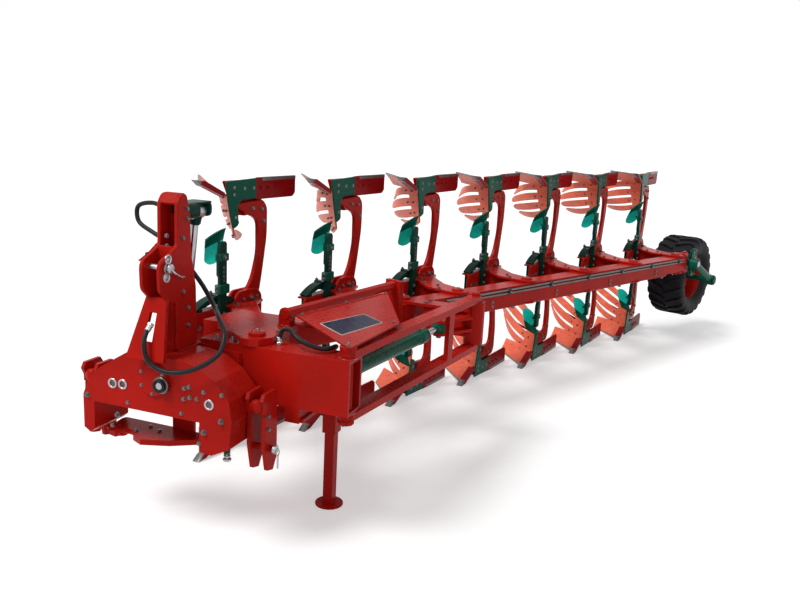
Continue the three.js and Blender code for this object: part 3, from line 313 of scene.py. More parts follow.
def normal_of(at, u, v):
    e = 1e-3
    du = at(u + e, v) - at(u - e, v)
    dv = at(u, v + e) - at(u, v - e)
    return du.cross(dv).normalized()


AXES = {
    "x": lambda u, v, w: Vector((w, u, v)),
    "y": lambda u, v, w: Vector((u, w, v)),
    "z": lambda u, v, w: Vector((u, v, w)),
    }


def around(axis, u, v, w):
    """The closed rim of a rectangle across an axis."""
    rim = ((u[0], v[0]), (u[1], v[0]), (u[1], v[1]), (u[0], v[1]), (u[0], v[0]))
    return [AXES[axis](*corner, w) for corner in rim]


WELD_STEP = 7
RIPPLE_SHARE = 0.14
RIPPLE_TURN = 1.7


class Shape:
    """Closed bodies in one mesh, each with a material, in millimetres of a local frame."""

    def __init__(self, warp=None):
        self.points = []
        self.faces = []
        self.marks = []
        self.materials = []
        self.warp = warp

    def add(self, points, faces, material):
        """One closed body, its faces turned outwards."""
        if material not in self.materials:
            self.materials.append(material)
        points = [self.warp(Vector(p)) if self.warp else Vector(p) for p in points]
        volume = 0
        for face in faces:
            a, *others = (points[i] - points[0] for i in face)
            volume += sum(a.dot(b.cross(c)) for b, c in zip(others, others[1:]))
        base = len(self.points)
        self.points += points
        for face in faces:
            face = [base + i for i in face]
            self.faces.append(face if volume > 0 else face[::-1])
            self.marks.append(self.materials.index(material))

    def doubled(self):
        """Everything so far once more, mirrored across the level of the axis."""
        base = len(self.points)
        self.points += [Vector((p.x, p.y, -p.z)) for p in self.points]
        self.faces += [[base + i for i in face][::-1] for face in self.faces]
        self.marks += self.marks

    def rings(self, rings, material, closed=False):
        """A skin over rings of points, its ends filled unless it closes on itself."""
        count = len(rings[0])
        faces = []
        for r in range(len(rings) if closed else len(rings) - 1):
            s = (r + 1) % len(rings)
            for i in range(count):
                j = (i + 1) % count
                faces.append([r * count + i, r * count + j, s * count + j, s * count + i])
        if not closed:
            last = (len(rings) - 1) * count
            faces.append(list(range(count))[::-1])
            faces.append([last + i for i in range(count)])
        self.add([p for ring in rings for p in ring], faces, material)

    def prism(self, outline, axis, low, high, material, edge=2):
        """A plate of an outline across an axis, its rims chamfered."""
        edge = min(edge, (high - low) * 0.4)
        small = inset(outline, edge)
        levels = [(small, low), (outline, low + edge), (outline, high - edge), (small, high)]
        self.rings([[AXES[axis](u, v, w) for u, v in ring] for ring, w in levels], material)

    def block(self, x, y, z, material, edge=2):
        outline = [p.xy for p in around("z", x, y, 0)[:4]]
        self.prism(outline, "z", *z, material, edge)

    def turned(self, profile, at, direction, material, sides=24, closed=False):
        """A round body of radius and distance pairs along a direction."""
        at, axis = Vector(at), Vector(direction).normalized()
        side = axis.orthogonal().normalized()
        other = axis.cross(side)
        ways = [side * u + other * v for u, v in circle((0, 0), 1, sides)]
        rings = [[at + axis * along + way * max(radius, 0.01) for way in ways]
            for radius, along in profile]
        self.rings(rings, material, closed)

    def collar(self, at, direction, inner, outer, height, material, sides=28):
        """A ring with a bore."""
        e = min(1.5, height / 3)
        profile = [(inner, 0), (outer, 0), (outer, height - e), (outer - e, height),
            (inner + e, height), (inner, height - e)]
        self.turned(profile, at, direction, material, sides, closed=True)

    def bar(self, a, b, radius, material, sides=20, edge=2):
        length = (Vector(b) - Vector(a)).length
        edge = min(edge, radius * 0.4, length * 0.3)
        profile = [(radius - edge, 0), (radius, edge), (radius, length - edge), (radius - edge, length)]
        self.turned(profile, a, Vector(b) - Vector(a), material, sides)

    def tube(self, path, radius, material, sides=10, closed=False):
        """A round bar along a path; the radius may be a function of the point's number."""
        path = [Vector(p) for p in path]
        rings, side = [], None
        for i, p in enumerate(path):
            before = path[i - 1] if i or closed else p
            after = path[(i + 1) % len(path)] if i < len(path) - 1 or closed else p
            along = (after - before).normalized()
            side = along.orthogonal() if side is None else side - along * side.dot(along)
            side = side.normalized()
            other = along.cross(side)
            size = radius(i) if callable(radius) else radius
            rings.append([p + side * u + other * v for u, v in circle((0, 0), size, sides)])
        self.rings(rings, material, closed)

    def weld(self, path, size=6):
        """A bead of weld with its ripples."""
        line = []
        for a, b in zip(path, path[1:]):
            a, b = Vector(a), Vector(b)
            count = max(2, int((b - a).length / WELD_STEP))
            line += [a.lerp(b, i / count) for i in range(count)]
        line.append(Vector(path[-1]))
        self.tube(line, lambda i: size * (1 + RIPPLE_SHARE * sin(i * RIPPLE_TURN)), "red", 7)

    def sheet(self, at, us, vs, low, high, material, trim=None):
        """A curved plate between two distances off a surface; trim(u) narrows it."""
        middle = (vs[0] + vs[-1]) / 2
        rings = []
        for u in us:
            keep = trim(u) if trim else 1
            row = [middle + (v - middle) * keep for v in vs]
            front = [at(u, v) + normal_of(at, u, v) * high for v in row]
            back = [at(u, v) + normal_of(at, u, v) * low for v in row[::-1]]
            rings.append(front + back)
        self.rings(rings, material)

    def bolt(self, at, direction, size, material="bolt", stub=0):
        """A hexagon head or nut on its washer, with the end of its thread where it has one."""
        at, axis = Vector(at), Vector(direction).normalized()
        washer = [(size * 1.05, -1), (size * 1.05, size * 0.16), (size * 0.98, size * 0.2)]
        self.turned(washer, at, axis, material, 20)
        base = at + axis * (size * 0.2)
        head = [(size * 0.86, -1), (size * 0.86, size * 0.62), (size * 0.72, size * 0.72)]
        self.turned(head, base, axis, material, 6)
        if stub:
            end = [(size * 0.48, 0), (size * 0.48, size * 0.7 + stub), (size * 0.40, size * 0.76 + stub)]
            self.turned(end, base, axis, material, 12)

    def bolts(self, axis, level, facing, places, size, material="bolt", stub=0):
        """Bolts at places on a plane across an axis, facing up or down that axis."""
        for u, v in places:
            self.bolt(AXES[axis](u, v, level), AXES[axis](0, 0, facing), size, material, stub)

    def stud(self, at, direction, radius):
        """A domed countersunk head."""
        profile = [(radius, -2), (radius, 0.5), (radius * 0.8, 1.8), (radius * 0.35, 2.4)]
        self.turned(profile, at, direction, "bolt", 14)

    def studs(self, surface, places, radius, lift=0):
        """Countersunk heads at places on a curved surface."""
        for u, v in places:
            out = normal_of(surface, u, v)
            self.stud(surface(u, v) + out * lift, out, radius)

    def nipple(self, at, direction):
        """A grease nipple."""
        profile = [(6, -1), (6, 4), (3.6, 5), (3.6, 9), (4.6, 10), (4.6, 13), (2, 15)]
        self.turned(profile, at, direction, "steel", 10)

    def cap(self, at, direction, radius, nipple=True):
        """The round cap over a pivot pin, with its bolts."""
        at, axis = Vector(at), Vector(direction).normalized()
        profile = [(radius, -2), (radius, 7), (radius * 0.9, 11), (radius * 0.5, 13)]
        self.turned(profile, at, axis, "red", 32)
        side = axis.orthogonal().normalized()
        other = axis.cross(side)
        for u, v in circle((0, 0), radius * 0.68, 4, 45):
            self.bolt(at + axis * 10 + side * u + other * v, axis, radius * 0.16)
        if nipple:
            self.nipple(at + axis * 12, axis)

    def mesh(self, name, mirror, smooth):
        """A mesh in metres, mirrored across the axis if asked, sharp past the smooth angle."""
        flip = Vector((1, 1, -1)) if mirror else Vector((1, 1, 1))
        data = bpy.data.meshes.new(name)
        faces = [f[::-1] for f in self.faces] if mirror else self.faces
        data.from_pydata([p * flip * MM for p in self.points], [], faces)
        for key in self.materials:
            data.materials.append(MATERIALS[key])
        data.polygons.foreach_set("material_index", self.marks)
        data.polygons.foreach_set("use_smooth", [True] * len(data.polygons))
        data.set_sharp_from_angle(angle=radians(smooth))
        data.update()
        return data


def filled(*steps, warp=None):
    """A shape to which each of the steps has added its bodies."""
    shape = Shape(warp)
    for step in steps:
        step(shape)
    return shape


def piece(name, shape, body, replaces=(), at=MACHINE, mirror=False, smooth=38):
    """A piece of the plough with its place in its own mesh, riding a body, for CAD nodes."""
    data = shape.mesh(name, mirror, smooth)
    data.transform(at)
    obj = bpy.data.objects.new(name, data)
    scene.collection.objects.link(obj)
    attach(obj, body)
    if replaces:
        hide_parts(*replaces)
    return obj


# Camera, from where the photograph was taken

EYE = ORIGIN + Vector((3.363, 2.388, 1.308))
LOOK = Vector((-0.917, -0.331, -0.220)).normalized()
SIDE = LOOK.cross(Vector((-0.189, -0.125, 0.974))).normalized()
SKY = SIDE.cross(LOOK)
SENSOR = 36
FOCAL_SHARE = 795.28 / 800

camera = bpy.data.objects.new("camera", bpy.data.cameras.new("camera"))
scene.collection.objects.link(camera)
camera.matrix_world = Matrix.Translation(EYE) @ Matrix((SIDE, SKY, -LOOK)).transposed().to_4x4()
camera.data.sensor_fit = "HORIZONTAL"
camera.data.sensor_width = SENSOR
camera.data.lens = SENSOR * FOCAL_SHARE
scene.camera = camera
scene.view_settings.view_transform = "Standard"

# Hoses

HOSE_RADIUS = 12
ROUTES = {
    "mast_hose": ("headstock", [
    (-30, -60.8, 800), (-30, -100, 800), (-55, -230, 826), (-75, -340, 795),
    (-70, -335, 725), (-45, -220, 672), (-41, -70, 610), (-41, 0, 520), (-41, 80, 430),
    (20, 190, 345), (130, 290, 322), (215, 375, 270), (270, 382, 195), (315, 310, 130),
    (340, 200, 88), (352, 100, 92), (352, 35, 130), (345, 12, 190), (318, 0, 240),
    (272, 0, 285)]),
    "frame_hose": ("turnover", [
    (-150, 470, 145.6), (-150, 470, 172), (-150, 490, 225), (-125, 540, 240),
    (-92, 610, 210), (-95, 690, 182), (-130, 750, 168), (-190, 770, 170),
    (-236, 750, 150), (-244, 705, 112), (-230, 690, 100), (-210.7, 690, 100)]),
    }


def hose_end(s, tip, along):
    """Ferrule, swivel nut and adaptor at a hose's end."""
    s.turned([(14.5, 18), (14.5, 38), (14, 40), (12.5, 42)], tip, along, "steel", 20)
    s.turned([(12.5, 8), (12.5, 20)], tip, along, "steel", 20)
    s.turned([(17, 1), (17, 14), (15, 16)], tip, along, "steel", 6)


for name, (body, route) in ROUTES.items():
    line = smooth_path(route)
    skin = Shape()
    skin.tube(line, HOSE_RADIUS, "hose", 16)
    hose = piece(name + "_line", skin, body, [name], smooth=70)
    world = [ORIGIN + p * MM for p in line]
    ends = Shape()
    hose_end(ends, line[0], line[3] - line[0])
    hose_end(ends, line[-1], line[-4] - line[-1])
    piece(name + "_fittings", ends, body, ())


# Plough bottoms, with the share tip at the origin and heights upwards

BOARD = patch([[(-282, -8, 104), (-320, -12, 250), (-360, -20, 368)],
    [(-545, -390, 90), (-560, -330, 300), (-620, -220, 475)],
    [(-930, -560, 240), (-890, -640, 370), (-1000, -500, 470)]])
SHARE = patch([[(0, 0, 13), (-210, -200, 13), (-420, -400, 13)],
    [(-150, -10, 72), (-318, -195, 68), (-485, -390, 62)],
    [(-300, -20, 124), (-425, -200, 120), (-560, -400, 110)]])
STRIPS = 7
SLATS = (0, 2, 4, 6)
SLAT_SPREAD = 0.22
SLAT_END = 0.9


def round_end(start, reach, least):
    """The share of a plate's width that is left, from its start to its round end."""
    def keep(u):
        return 1 if u < start else sqrt(max(least, 1 - ((u - start) / reach) ** 2))
    return keep


def board_and_share(s):
    """Share, breast, four long slats with round ends, and their bolts."""
    s.sheet(SHARE, spread(0.07, 1, 6), spread(0.05, 1, 8), -12, 0, "coral")
    s.sheet(SHARE, spread(0, 0.08, 1), spread(0.05, 1, 8), -9, -2, "worn_steel")
    s.sheet(BOARD, spread(0, 0.20, 6), spread(0, 1, 14), -12, 0, "coral")
    slat_steps = spread(0.18, SLAT_END, 11) + [0.93, 0.96, 0.98, 0.995, 1.0]
    for row in SLATS:
        low, high = max(0, row - SLAT_SPREAD), min(STRIPS, row + 1 + SLAT_SPREAD)
        s.sheet(BOARD, slat_steps, spread(low / STRIPS, high / STRIPS, 3), -12.5, -0.5, "coral",
            round_end(SLAT_END, 0.101, 0.06))
    for u in (0.12, 0.26):
        for row in SLATS:
            v = (row + 0.5) / STRIPS
            out = normal_of(BOARD, u, v)
            s.stud(BOARD(u, v) - out * 0.5, out, 9)
            s.bolt(BOARD(u, v) - out * 12, -out, 10, stub=4)
    s.studs(BOARD, [(0.08, 0.2), (0.08, 0.5), (0.08, 0.8)], 11)
    s.studs(SHARE, [(0.75, 0.12), (0.75, 0.42), (0.75, 0.72)], 11)


def point_and_landside(s):
    """Reversible point, frog plates, backing, landside with its wearing strip, and stay."""
    s.prism([(-34, 28), (-238, 112), (-244, 86), (-70, 6), (-30, 5)], "y", -60, 0, "dark_red", 4)
    s.prism([(0, 0), (-44, 36), (-60, 42), (-70, 6)], "y", -58, -2, "worn_steel", 4)
    frog = [(-285, 30), (-620, 5), (-620, 135), (-352, 136), (-350, 200), (-395, 292),
        (-348, 290), (-305, 120)]
    s.prism(rounded(frog, 10, 2), "y", -41, -12, "green", 3)
    shin = [(-252, 18), (-618, 3), (-618, 137), (-400, 138), (-366, 176), (-372, 300),
        (-322, 322), (-296, 240), (-268, 118)]
    s.prism(rounded(shin, 14, 3), "y", -14, -1.5, "green", 2)
    backing = [(-290, 20), (-620, 20), (-640, 120), (-640, 236), (-470, 250), (-400, 240)]
    s.prism(rounded(backing, 14, 3), "y", -75, -36, "dark_red", 3)
    side = [(-540, 2), (-960, 2), (-960, 120), (-930, 145), (-540, 145)]
    s.prism(rounded(side, 8, 2), "y", -14, 0, "dark_red", 3)
    s.prism(rounded([(-600, 1), (-958, 1), (-958, 26), (-600, 26)], 4, 2), "y", -13, 1.5,
        "worn_steel", 1)
    for x, z in ((-330, 60), (-330, 105), (-430, 70), (-520, 70), (-345, 250)):
        s.stud((x, -1.5, z), (0, 1, 0), 12)
    s.bolts("y", 0, 1, [(-585, 70), (-660, 70), (-740, 70)], 11, "dark_red")
    s.bolts("y", -75, -1, [(-430, 210), (-560, 215), (-600, 90)], 13, stub=6)
    back = BOARD(0.62, 2.5 / STRIPS) + Vector((-12, 11, 0))
    stay = [(-600, -60, 150), (-640, -150, 190), back]
    s.tube(smooth_path(stay), 10, "dark_red", 12)
    s.bolt((-600, -70, 150), (0.4, -1, 0), 13)


# Legs, brackets and springs, in the bracket's frame: its pivot at the origin, +X ahead

TRIP_X = -350
TRIP_Z = 112
LEG_SIDES = (-485, -455)
CHEEK_OUTER = (-507.4, -485.4)
CHEEK_INNER = (-454.6, -432.6)
PLATE_LOW = 75.4
PLATE_TOP = 95.4


def plough_leg(s):
    """Leg from the trip pin to the foot, upwards."""
    outline = [(-500, 262), (-450, 40), (-300, 40), (-292, 112), (-395, 225), (-452, 400),
        (-448, 625), (-330, 668), (-238, 716), (-244, 736), (-500, 752), (-545, 700), (-545, 505)]
    s.prism(rounded(outline, 60, 5), "y", *LEG_SIDES, "red", 5)
    s.bar((TRIP_X, LEG_SIDES[0] - 1.5, TRIP_Z), (TRIP_X, LEG_SIDES[1] + 1.5, TRIP_Z), 56, "red", 32, 5)
    for y, out in zip(LEG_SIDES, (-1, 1)):
        s.bolts("y", y, out, [(-390, 700), (-480, 690), (-500, 610)], 14)


def bracket_half(s):
    """Top plate of a bracket with its trip pin's caps, its bolts and welds."""
    plan = arc((0, 0), 85, 189, 0, 16) + [
        (78, -60), (40, -230), (-100, -380), (-108, -433), (-440, -433), (-440, -400),
        (-330, -360), (-150, -180), (-85, -20)]
    s.prism(plan, "z", PLATE_LOW, PLATE_TOP, "red", 3)
    s.cap((0, 0, PLATE_TOP), UP, 46)
    s.bolts("z", PLATE_TOP, 1, [(44, -130), (-52, -190), (-60, -300), (-380, -416), (-200, -410)], 13)
    for y, out in ((CHEEK_OUTER[0], -1), (CHEEK_INNER[1], 1)):
        s.turned([(32, -2), (32, 5), (28, 8), (12, 8)], (TRIP_X, y, TRIP_Z), (0, out, 0), "red", 28)
        s.bolt((TRIP_X, y + out * 8, TRIP_Z), (0, out, 0), 15)
        s.bolts("y", y, out, [(-415, TRIP_Z), (-280, TRIP_Z)], 12)
    s.bar((TRIP_X, -506, TRIP_Z), (TRIP_X, -434, TRIP_Z), 19.5, "steel", 20)
    s.weld([(-436, -433, 96), (-112, -433, 96)])


LEAVES = 5
LEAF_LENGTH = 388
LEAF_MIDDLE = -42
LEAF_STEP = 7
LEAF_THICK = 6.6
LEAF_SIDES = (-501, -439)
CREST_X = -45
CREST_Z = 172
BOW = 66
BOW_REACH = 200


def leaf_pack(s):
    """Leaves of the stone trip's spring, its clamp and its bolts."""
    near, far = LEAF_SIDES
    for leaf in range(LEAVES):
        rings = []
        half = LEAF_LENGTH / 2 * (1 - leaf * 0.10)
        for x in spread(LEAF_MIDDLE - half, LEAF_MIDDLE + half, 18):
            z = CREST_Z - ((x - CREST_X) / BOW_REACH) ** 2 * BOW - leaf * LEAF_STEP
            low = z - LEAF_THICK
            rings.append([(x, near, z), (x, far, z), (x, far, low), (x, near, low)])
        s.rings(rings, "dark_green")
    for low, high in ((120, 132), (167, 179)):
        s.block((-80, -28), (-512, -428), (low, high), "dark_green", 3)
    for y in (-507, -433):
        s.bar((-54, y, 116), (-54, y, 184), 8, "steel", 12)
        s.bolt((-54, y, 178), UP, 13, stub=5)
    s.block((-200, 165), (-507, -434), (82, 96), "red", 3)
    for x in (-206, 116):
        s.block((x - 16, x + 16), (-506, -434), (94, 116), "dark_green", 3)


def bracket_middle(s):
    """Cheeks, ribs and the carrier between the two leaf packs."""
    inner = [(-470, -120), (-470, 120), (-420, 170), (-240, 170), (-180, 96), (176, 92),
        (176, -92), (-180, -96), (-240, -170), (-420, -170)]
    outer = inner[:5] + inner[7:]
    s.prism(rounded(inner, 26, 3), "y", *CHEEK_INNER, "red", 3)
    s.prism(rounded(outer, 26, 3), "y", *CHEEK_OUTER, "red", 3)
    for x, y in (((-151, -121), (-434, -150)), ((-345, -315), (-434, -364))):
        s.block(x, y, (-77, 77), "red")
    carrier = [(-200, -46), (-200, 46), (112, 46), (118, 112), (152, 112), (150, 46),
        (150, -46), (152, -112), (118, -112), (112, -46)]
    s.prism(carrier, "y", -487.4, -452.6, "dark_green", 3)
    s.bar((0, 0, -94), (0, 0, 94), 26, "steel", 24)
    s.bar((-30, -112, -164), (-30, -112, -76), 14, "steel", 20)
    s.bolt((-30, -112, -162), -UP, 17)
    s.bolts("y", CHEEK_INNER[1], 1, [(-150, 0), (-50, 0), (40, 0), (130, 0)], 13)


# Skimmers on their long stem

BLADE = patch([[(-78, -404, 606), (-40, -444, 590), (14, -492, 532)],
    [(-62, -422, 510), (-64, -500, 478), (-40, -552, 452)],
    [(-70, -448, 388), (-80, -506, 360), (-72, -572, 350)]])
STEM = (-432.2, -402.2)
BLADE_END = 0.8


def skimmer_half(s):
    """One end of the stem with its clamps, holes, cutting share and small board."""
    low, high = STEM
    middle = (low + high) / 2
    s.block((-102, -16), (low - 8, high + 9), (190, 250), "green", 4)
    s.block((-98, -20), (low - 6, high + 6), (398, 446), "green", 4)
    s.bolts("x", -16, 1, [(middle, 205), (middle, 236)], 13, stub=6)
    s.bolts("x", -102, -1, [(middle, 205), (middle, 236)], 13)
    for z in (272, 300, 328, 356):
        for y, out in ((high - 1, 1), (low + 1, -1)):
            s.collar((-60, y, z), (0, out, 0), 6, 10, 2, "worn_steel", 14)
    s.bolt((-57, high + 6, 422), (0, 1, 0), 13)
    s.sheet(BLADE, spread(0, 0.36, 6), spread(0, 1, 8), -10.5, -0.5, "green")
    s.sheet(BLADE, spread(0.34, BLADE_END, 6) + [0.86, 0.91, 0.95, 0.98, 1.0], spread(0, 1, 10),
        -10, 0.5, "turquoise", round_end(BLADE_END, 0.204, 0.04))
    s.bar((-58, -418, 480), BLADE(0.35, 0.30) + Vector((0, 8, 0)), 13, "green", 12)
    s.bar((-58, -418, 424), BLADE(0.70, 0.28) + Vector((0, 8, 0)), 11, "green", 12)
    s.studs(BLADE, [(0.25, 0.25), (0.25, 0.6)], 9)
    s.studs(BLADE, [(0.5, 0.3), (0.65, 0.3)], 8, 0.5)


def skimmer_stem(s):
    half = [(-90, 0), (-90, 506), (-78, 520), (-42, 520), (-30, 508), (-18, 425), (-18, 310),
        (-30, 295), (-30, 0)]
    stem = half[1:-1] + [(x, -z) for x, z in half[1:-1][::-1]]
    s.prism(stem, "y", *STEM, "dark_green", 4)
    s.bolts("y", STEM[1], 1, [(-60, -60), (-60, 0), (-60, 60)], 15)


TIP = Vector((120, -450, AXIS_HEIGHT))


def add_furrows():
    """Bracket, skimmers, and above and below them the legs and bottoms of each furrow."""
    bottom = filled(board_and_share, point_and_landside)
    leg = filled(plough_leg)
    bracket = filled(bracket_half, leaf_pack, Shape.doubled, bracket_middle)
    skimmers = filled(skimmer_half, Shape.doubled, skimmer_stem)
    for k in range(1, FURROWS + 1):
        at = placed(station(SPACING * (k - 1)), -HEADING)
        body = f"bracket_{k}"
        piece(f"bracket_form_{k}", bracket, body, [body], at=at)
        piece(f"skimmers_{k}", skimmers, body, [f"skimmer_pair_{k}"], at)
        for half, up in (("upper", 1), ("lower", -1)):
            foot = at @ Matrix.Translation(Vector((TIP.x, TIP.y, up * TIP.z)) * MM)
            piece(f"{half}_bottom_{k}", bottom, f"{half}_{k}", [f"{half}_body_{k}"],
                foot, mirror=up > 0)
            piece(f"{half}_leg_form_{k}", leg, f"{half}_{k}", [f"{half}_leg_{k}"], at,
                mirror=up < 0)


add_furrows()


# Headstock, mast and turnover cylinder

LINK_X = 70
LINK_Z = -330
FRONT = 260
BEARING_FACE = 274


def lower_link_fittings(s):
    """Pin ends, linch pins on their rings, and round bosses of the two clevises."""
    for side, out in SIDES:
        for y, away in ((439, -out), (581, out)):
            s.turned([(24, -9), (24, 2), (20, 6), (8, 8)], (LINK_X, side * y, LINK_Z), away, "steel")
        s.turned([(36, -4), (36, 6), (30, 16), (16, 22), (4, 24)], (126, side * 500, -98),
            AHEAD, "red", 30)
        hang = Vector((LINK_X, side * 594, LINK_Z))
        ring = [(x, hang.y, z) for x, z in circle((hang.x, hang.z - 14), 15, 24)]
        s.tube(ring, 3, "steel", 8, closed=True)
        s.bar(hang - UP * 27, hang - UP * 100, 5, "steel", 12)
        s.bar(hang + UP * 2, hang - out * 30 + UP * 2, 6, "steel", 12)
        s.bolts("y", side * 551, side, [(96, -150), (96, -220)], 12)


def front_face_fittings(s):
    """Bushings, bolts and couplings on the headstock's front."""
    for y, z in ((-251, -62), (-189, -58), (319, -78)):
        s.collar((FRONT - 2, y, z), AHEAD, 17, 27, 7, "steel")
        s.turned([(17, 0), (17, 3), (14, 4)], (FRONT - 4, y, z), AHEAD, "worn_steel")
    s.bolts("x", FRONT, 1, [(178, -17), (205, -6), (174, -73), (209, -60), (251, -60),
        (289, -19), (390, -18)], 11)
    s.bolts("x", FRONT, 1, [(-223, -225), (387, -151), (290, -225), (-410, -150)], 14, stub=6)
    y, z = 54, -18
    s.turned([(44, -2), (44, 8), (40, 12)], (BEARING_FACE, y, z), AHEAD, "worn_steel", 32)
    s.collar((BEARING_FACE + 10, y, z), AHEAD, 20, 34, 16, "hose")
    s.turned([(20, 0), (20, 12), (14, 16)], (BEARING_FACE + 10, y, z), AHEAD, "steel", 6)
    s.bolts("x", BEARING_FACE, 1, circle((0, 0), 72, 6, 30), 9)


COIL_RADIUS = 15
COIL_STEPS = 100
COIL_FALL = 0.55


def spring_pin(s):
    """Sprung locking pin under the headstock's left foot."""
    top = Vector((LINK_X, 300, LINK_Z - 16))
    s.bar(top + UP * 4, top - UP * 92, 8, "steel", 16)
    coil = [top + Vector((COIL_RADIUS * cos(i / 2), COIL_RADIUS * sin(i / 2), -10 - i * COIL_FALL))
        for i in range(COIL_STEPS)]
    s.tube(coil, 2.6, "green", 8)
    s.turned([(18, 0), (18, 5), (14, 7)], top - UP * 72, -UP, "steel")
    s.turned([(22, 0), (22, 8), (18, 12)], top - UP * 90, -UP, "steel")


def foot_fittings(s):
    """Welds of the mast's foot, bolts of the mouth, and bushings on the tongue."""
    for y in (-66, 66):
        s.weld([(-18, y, 122), (148, y, 122)])
    s.bolts("x", FRONT - 2, 1, [(-260, -290), (-160, -150), (160, -150), (260, -290)], 11)
    s.bolts("z", -355, 1, [(60, -180), (140, -210), (90, -100)], 12)
    for x, y in ((205, -243), (184, -320)):
        s.collar((x, y, -357), UP, 14, 24, 5, "red")
    s.turned([(34, 0), (34, 10), (20, 14)], (150, -345, -356), UP, "red", 28)


MAST_SIDE = [(-20, 121), (-14, 430), (24, 600), (34, 800), (60, 904), (104, 904), (138, 860),
    (140, 655), (200, 622), (268, 596), (284, 560), (280, 450), (215, 390), (150, 370),
    (150, 121)]
MAST_BACK = [(-20, 121), (0, 121), (6, 425), (44, 600), (54, 800), (34, 800), (24, 600),
    (-14, 430)]
MAST_HEAD = [(60, 903), (104, 903), (137, 860), (124, 850), (98, 886), (66, 886)]
CLEVIS = [(-60, 772), (60, 772), (60, 853), (-60, 853)]
CLEVIS_BACK = -160
MAST_SIDES = (40, 60)
HOLE_FACE = 59
TOP_LINK_HOLES = ((217, 599), (224, 556), (231, 513))
RAM_TOP = Vector((-100, 0, 800))
RAM_FOOT = Vector((-100, -90, 0))
RAM_BARREL = 332


SLOPE_TOP = Vector((212, 0, 400))
SLOPE = Vector((100, 0, -290))
SLOPE_OUT = Vector((0.946, 0, 0.324))
SLOT_START = 0.24
SLOT_END = 0.70
PLATE_THICK = 20


def sloping_plate(s):
    """Plate in front of the mast's foot, with the slot that the hose goes through."""
    def at(share, y, lift):
        return SLOPE_TOP + SLOPE * share + SLOPE_OUT * lift + Y * y

    def half(t):
        return 60 + 50 * t

    def slot(t):
        return 18 + 8 * t

    def strip(edges):
        s.rings([[at(t, a, 0), at(t, b, 0), at(t, b, PLATE_THICK), at(t, a, PLATE_THICK)]
            for t, a, b in edges], "red")

    for ends in ((0, SLOT_START), (SLOT_END, 1)):
        strip([(t, -half(t), half(t)) for t in ends])
    for side in (1, -1):
        strip([(t, *sorted((side * slot(t), side * half(t)))) for t in (SLOT_START, SLOT_END)])


def mast_form(s):
    """Side plates, webs, sloping plate and the round dark clevis of the turnover cylinder."""
    for side in (1, -1):
        s.prism(rounded(MAST_SIDE, 20, 4), "y", *sorted(side * y for y in MAST_SIDES), "red", 3)
    for web in (MAST_BACK, MAST_HEAD):
        s.prism(web, "y", -42, 42, "red", 1)
    s.block((140, 160), (-42, 42), (121, 652), "red")
    clevis = rounded(CLEVIS, 34, 6)
    s.prism(clevis, "x", -61, 44, "dark_green", 6)
    s.prism(clevis, "x", CLEVIS_BACK, -141, "dark_green", 4)
    s.block((-158, -50), (-56, 56), (841, 853), "dark_green", 3)
    s.bar((CLEVIS_BACK, 0, RAM_TOP.z), (-50, 0, RAM_TOP.z), 20, "steel", 28)
    s.bolt((CLEVIS_BACK, 0, RAM_TOP.z), -AHEAD, 24)
    sloping_plate(s)
    for x, z in TOP_LINK_HOLES:
        for side, out in SIDES:
            s.turned([(15.6, -2), (15.6, 1.5), (14, 2.5)], (x, side * HOLE_FACE, z), out, "steel", 20)
    x, z = TOP_LINK_HOLES[1]
    s.bar((x, -80, z), (x, 80, z), 15, "steel", 24)


def mast_fittings(s):
    """Rings of the three holes, pin and its handle, bolts and welds."""
    plates = [(62, 780), (62, 830), (100, 690), (60, 240), (60, 330), (100, 420)]
    pin_x, pin_z = TOP_LINK_HOLES[1]
    for side, out in SIDES:
        for x, z in TOP_LINK_HOLES:
            s.collar((x, side * HOLE_FACE, z), out, 15.6, 25, 6, "steel")
        s.turned([(24, -2), (24, 6), (18, 10)], (pin_x, side * 79, pin_z), out, "steel")
        s.bolts("y", side * MAST_SIDES[1], side, plates, 12)
        y = side * (MAST_SIDES[1] + 2)
        s.weld([(140, y, 655), (200, y, 620), (275, y, 590)], 4)
    handle = [(pin_x, 84, pin_z), (200, 92, 530), (150, 90, 505), (110, 74, 500)]
    s.tube(smooth_path(handle), 5, "steel", 10)
    s.bolts("x", 141, 1, [(0, 650), (0, 700)], 11)
    s.weld([(214, -58, 402), (214, 58, 402)])
    s.block((62, 98), (-52, 52), (884, 907), "red", 6)


def turnover_cylinder(s):
    """Barrel with its gland and ports below, chromed rod above, and an eye at either end."""
    line = (RAM_TOP - RAM_FOOT).normalized()
    end = RAM_BARREL
    s.turned([(30, 8), (35, 12), (35, end - 44), (37.5, end - 42), (37.5, end + 4),
        (34, end + 8), (26, end + 8)], RAM_FOOT, line, "dark_green", 36)
    s.bar(RAM_FOOT + line * end, RAM_TOP, 20.5, "chrome", 36)
    s.turned([(24, -70), (30, -64), (34, -30), (34, 0)], RAM_TOP, line, "dark_green", 28)
    eye = AHEAD * 38
    s.collar(RAM_TOP - eye, AHEAD, 20.6, 39.5, 76, "steel", 32)
    s.turned([(35.5, 0), (35.5, 76)], RAM_FOOT - eye, AHEAD, "dark_green", 32)
    for along in (60, end - 22):
        s.turned([(12, 26), (12, 42), (10, 44)], RAM_FOOT + line * along, Y, "steel", 6)


piece("headstock_fittings",
    filled(lower_link_fittings, front_face_fittings, spring_pin, foot_fittings), "headstock")
piece("mast_form", filled(mast_form), "headstock", ["mast"])
piece("mast_fittings", filled(mast_fittings), "headstock")
piece("turnover_ram", filled(turnover_cylinder), "turnover_cylinder", ["turnover_cylinder"])


# Cross box, beam and the front linkage

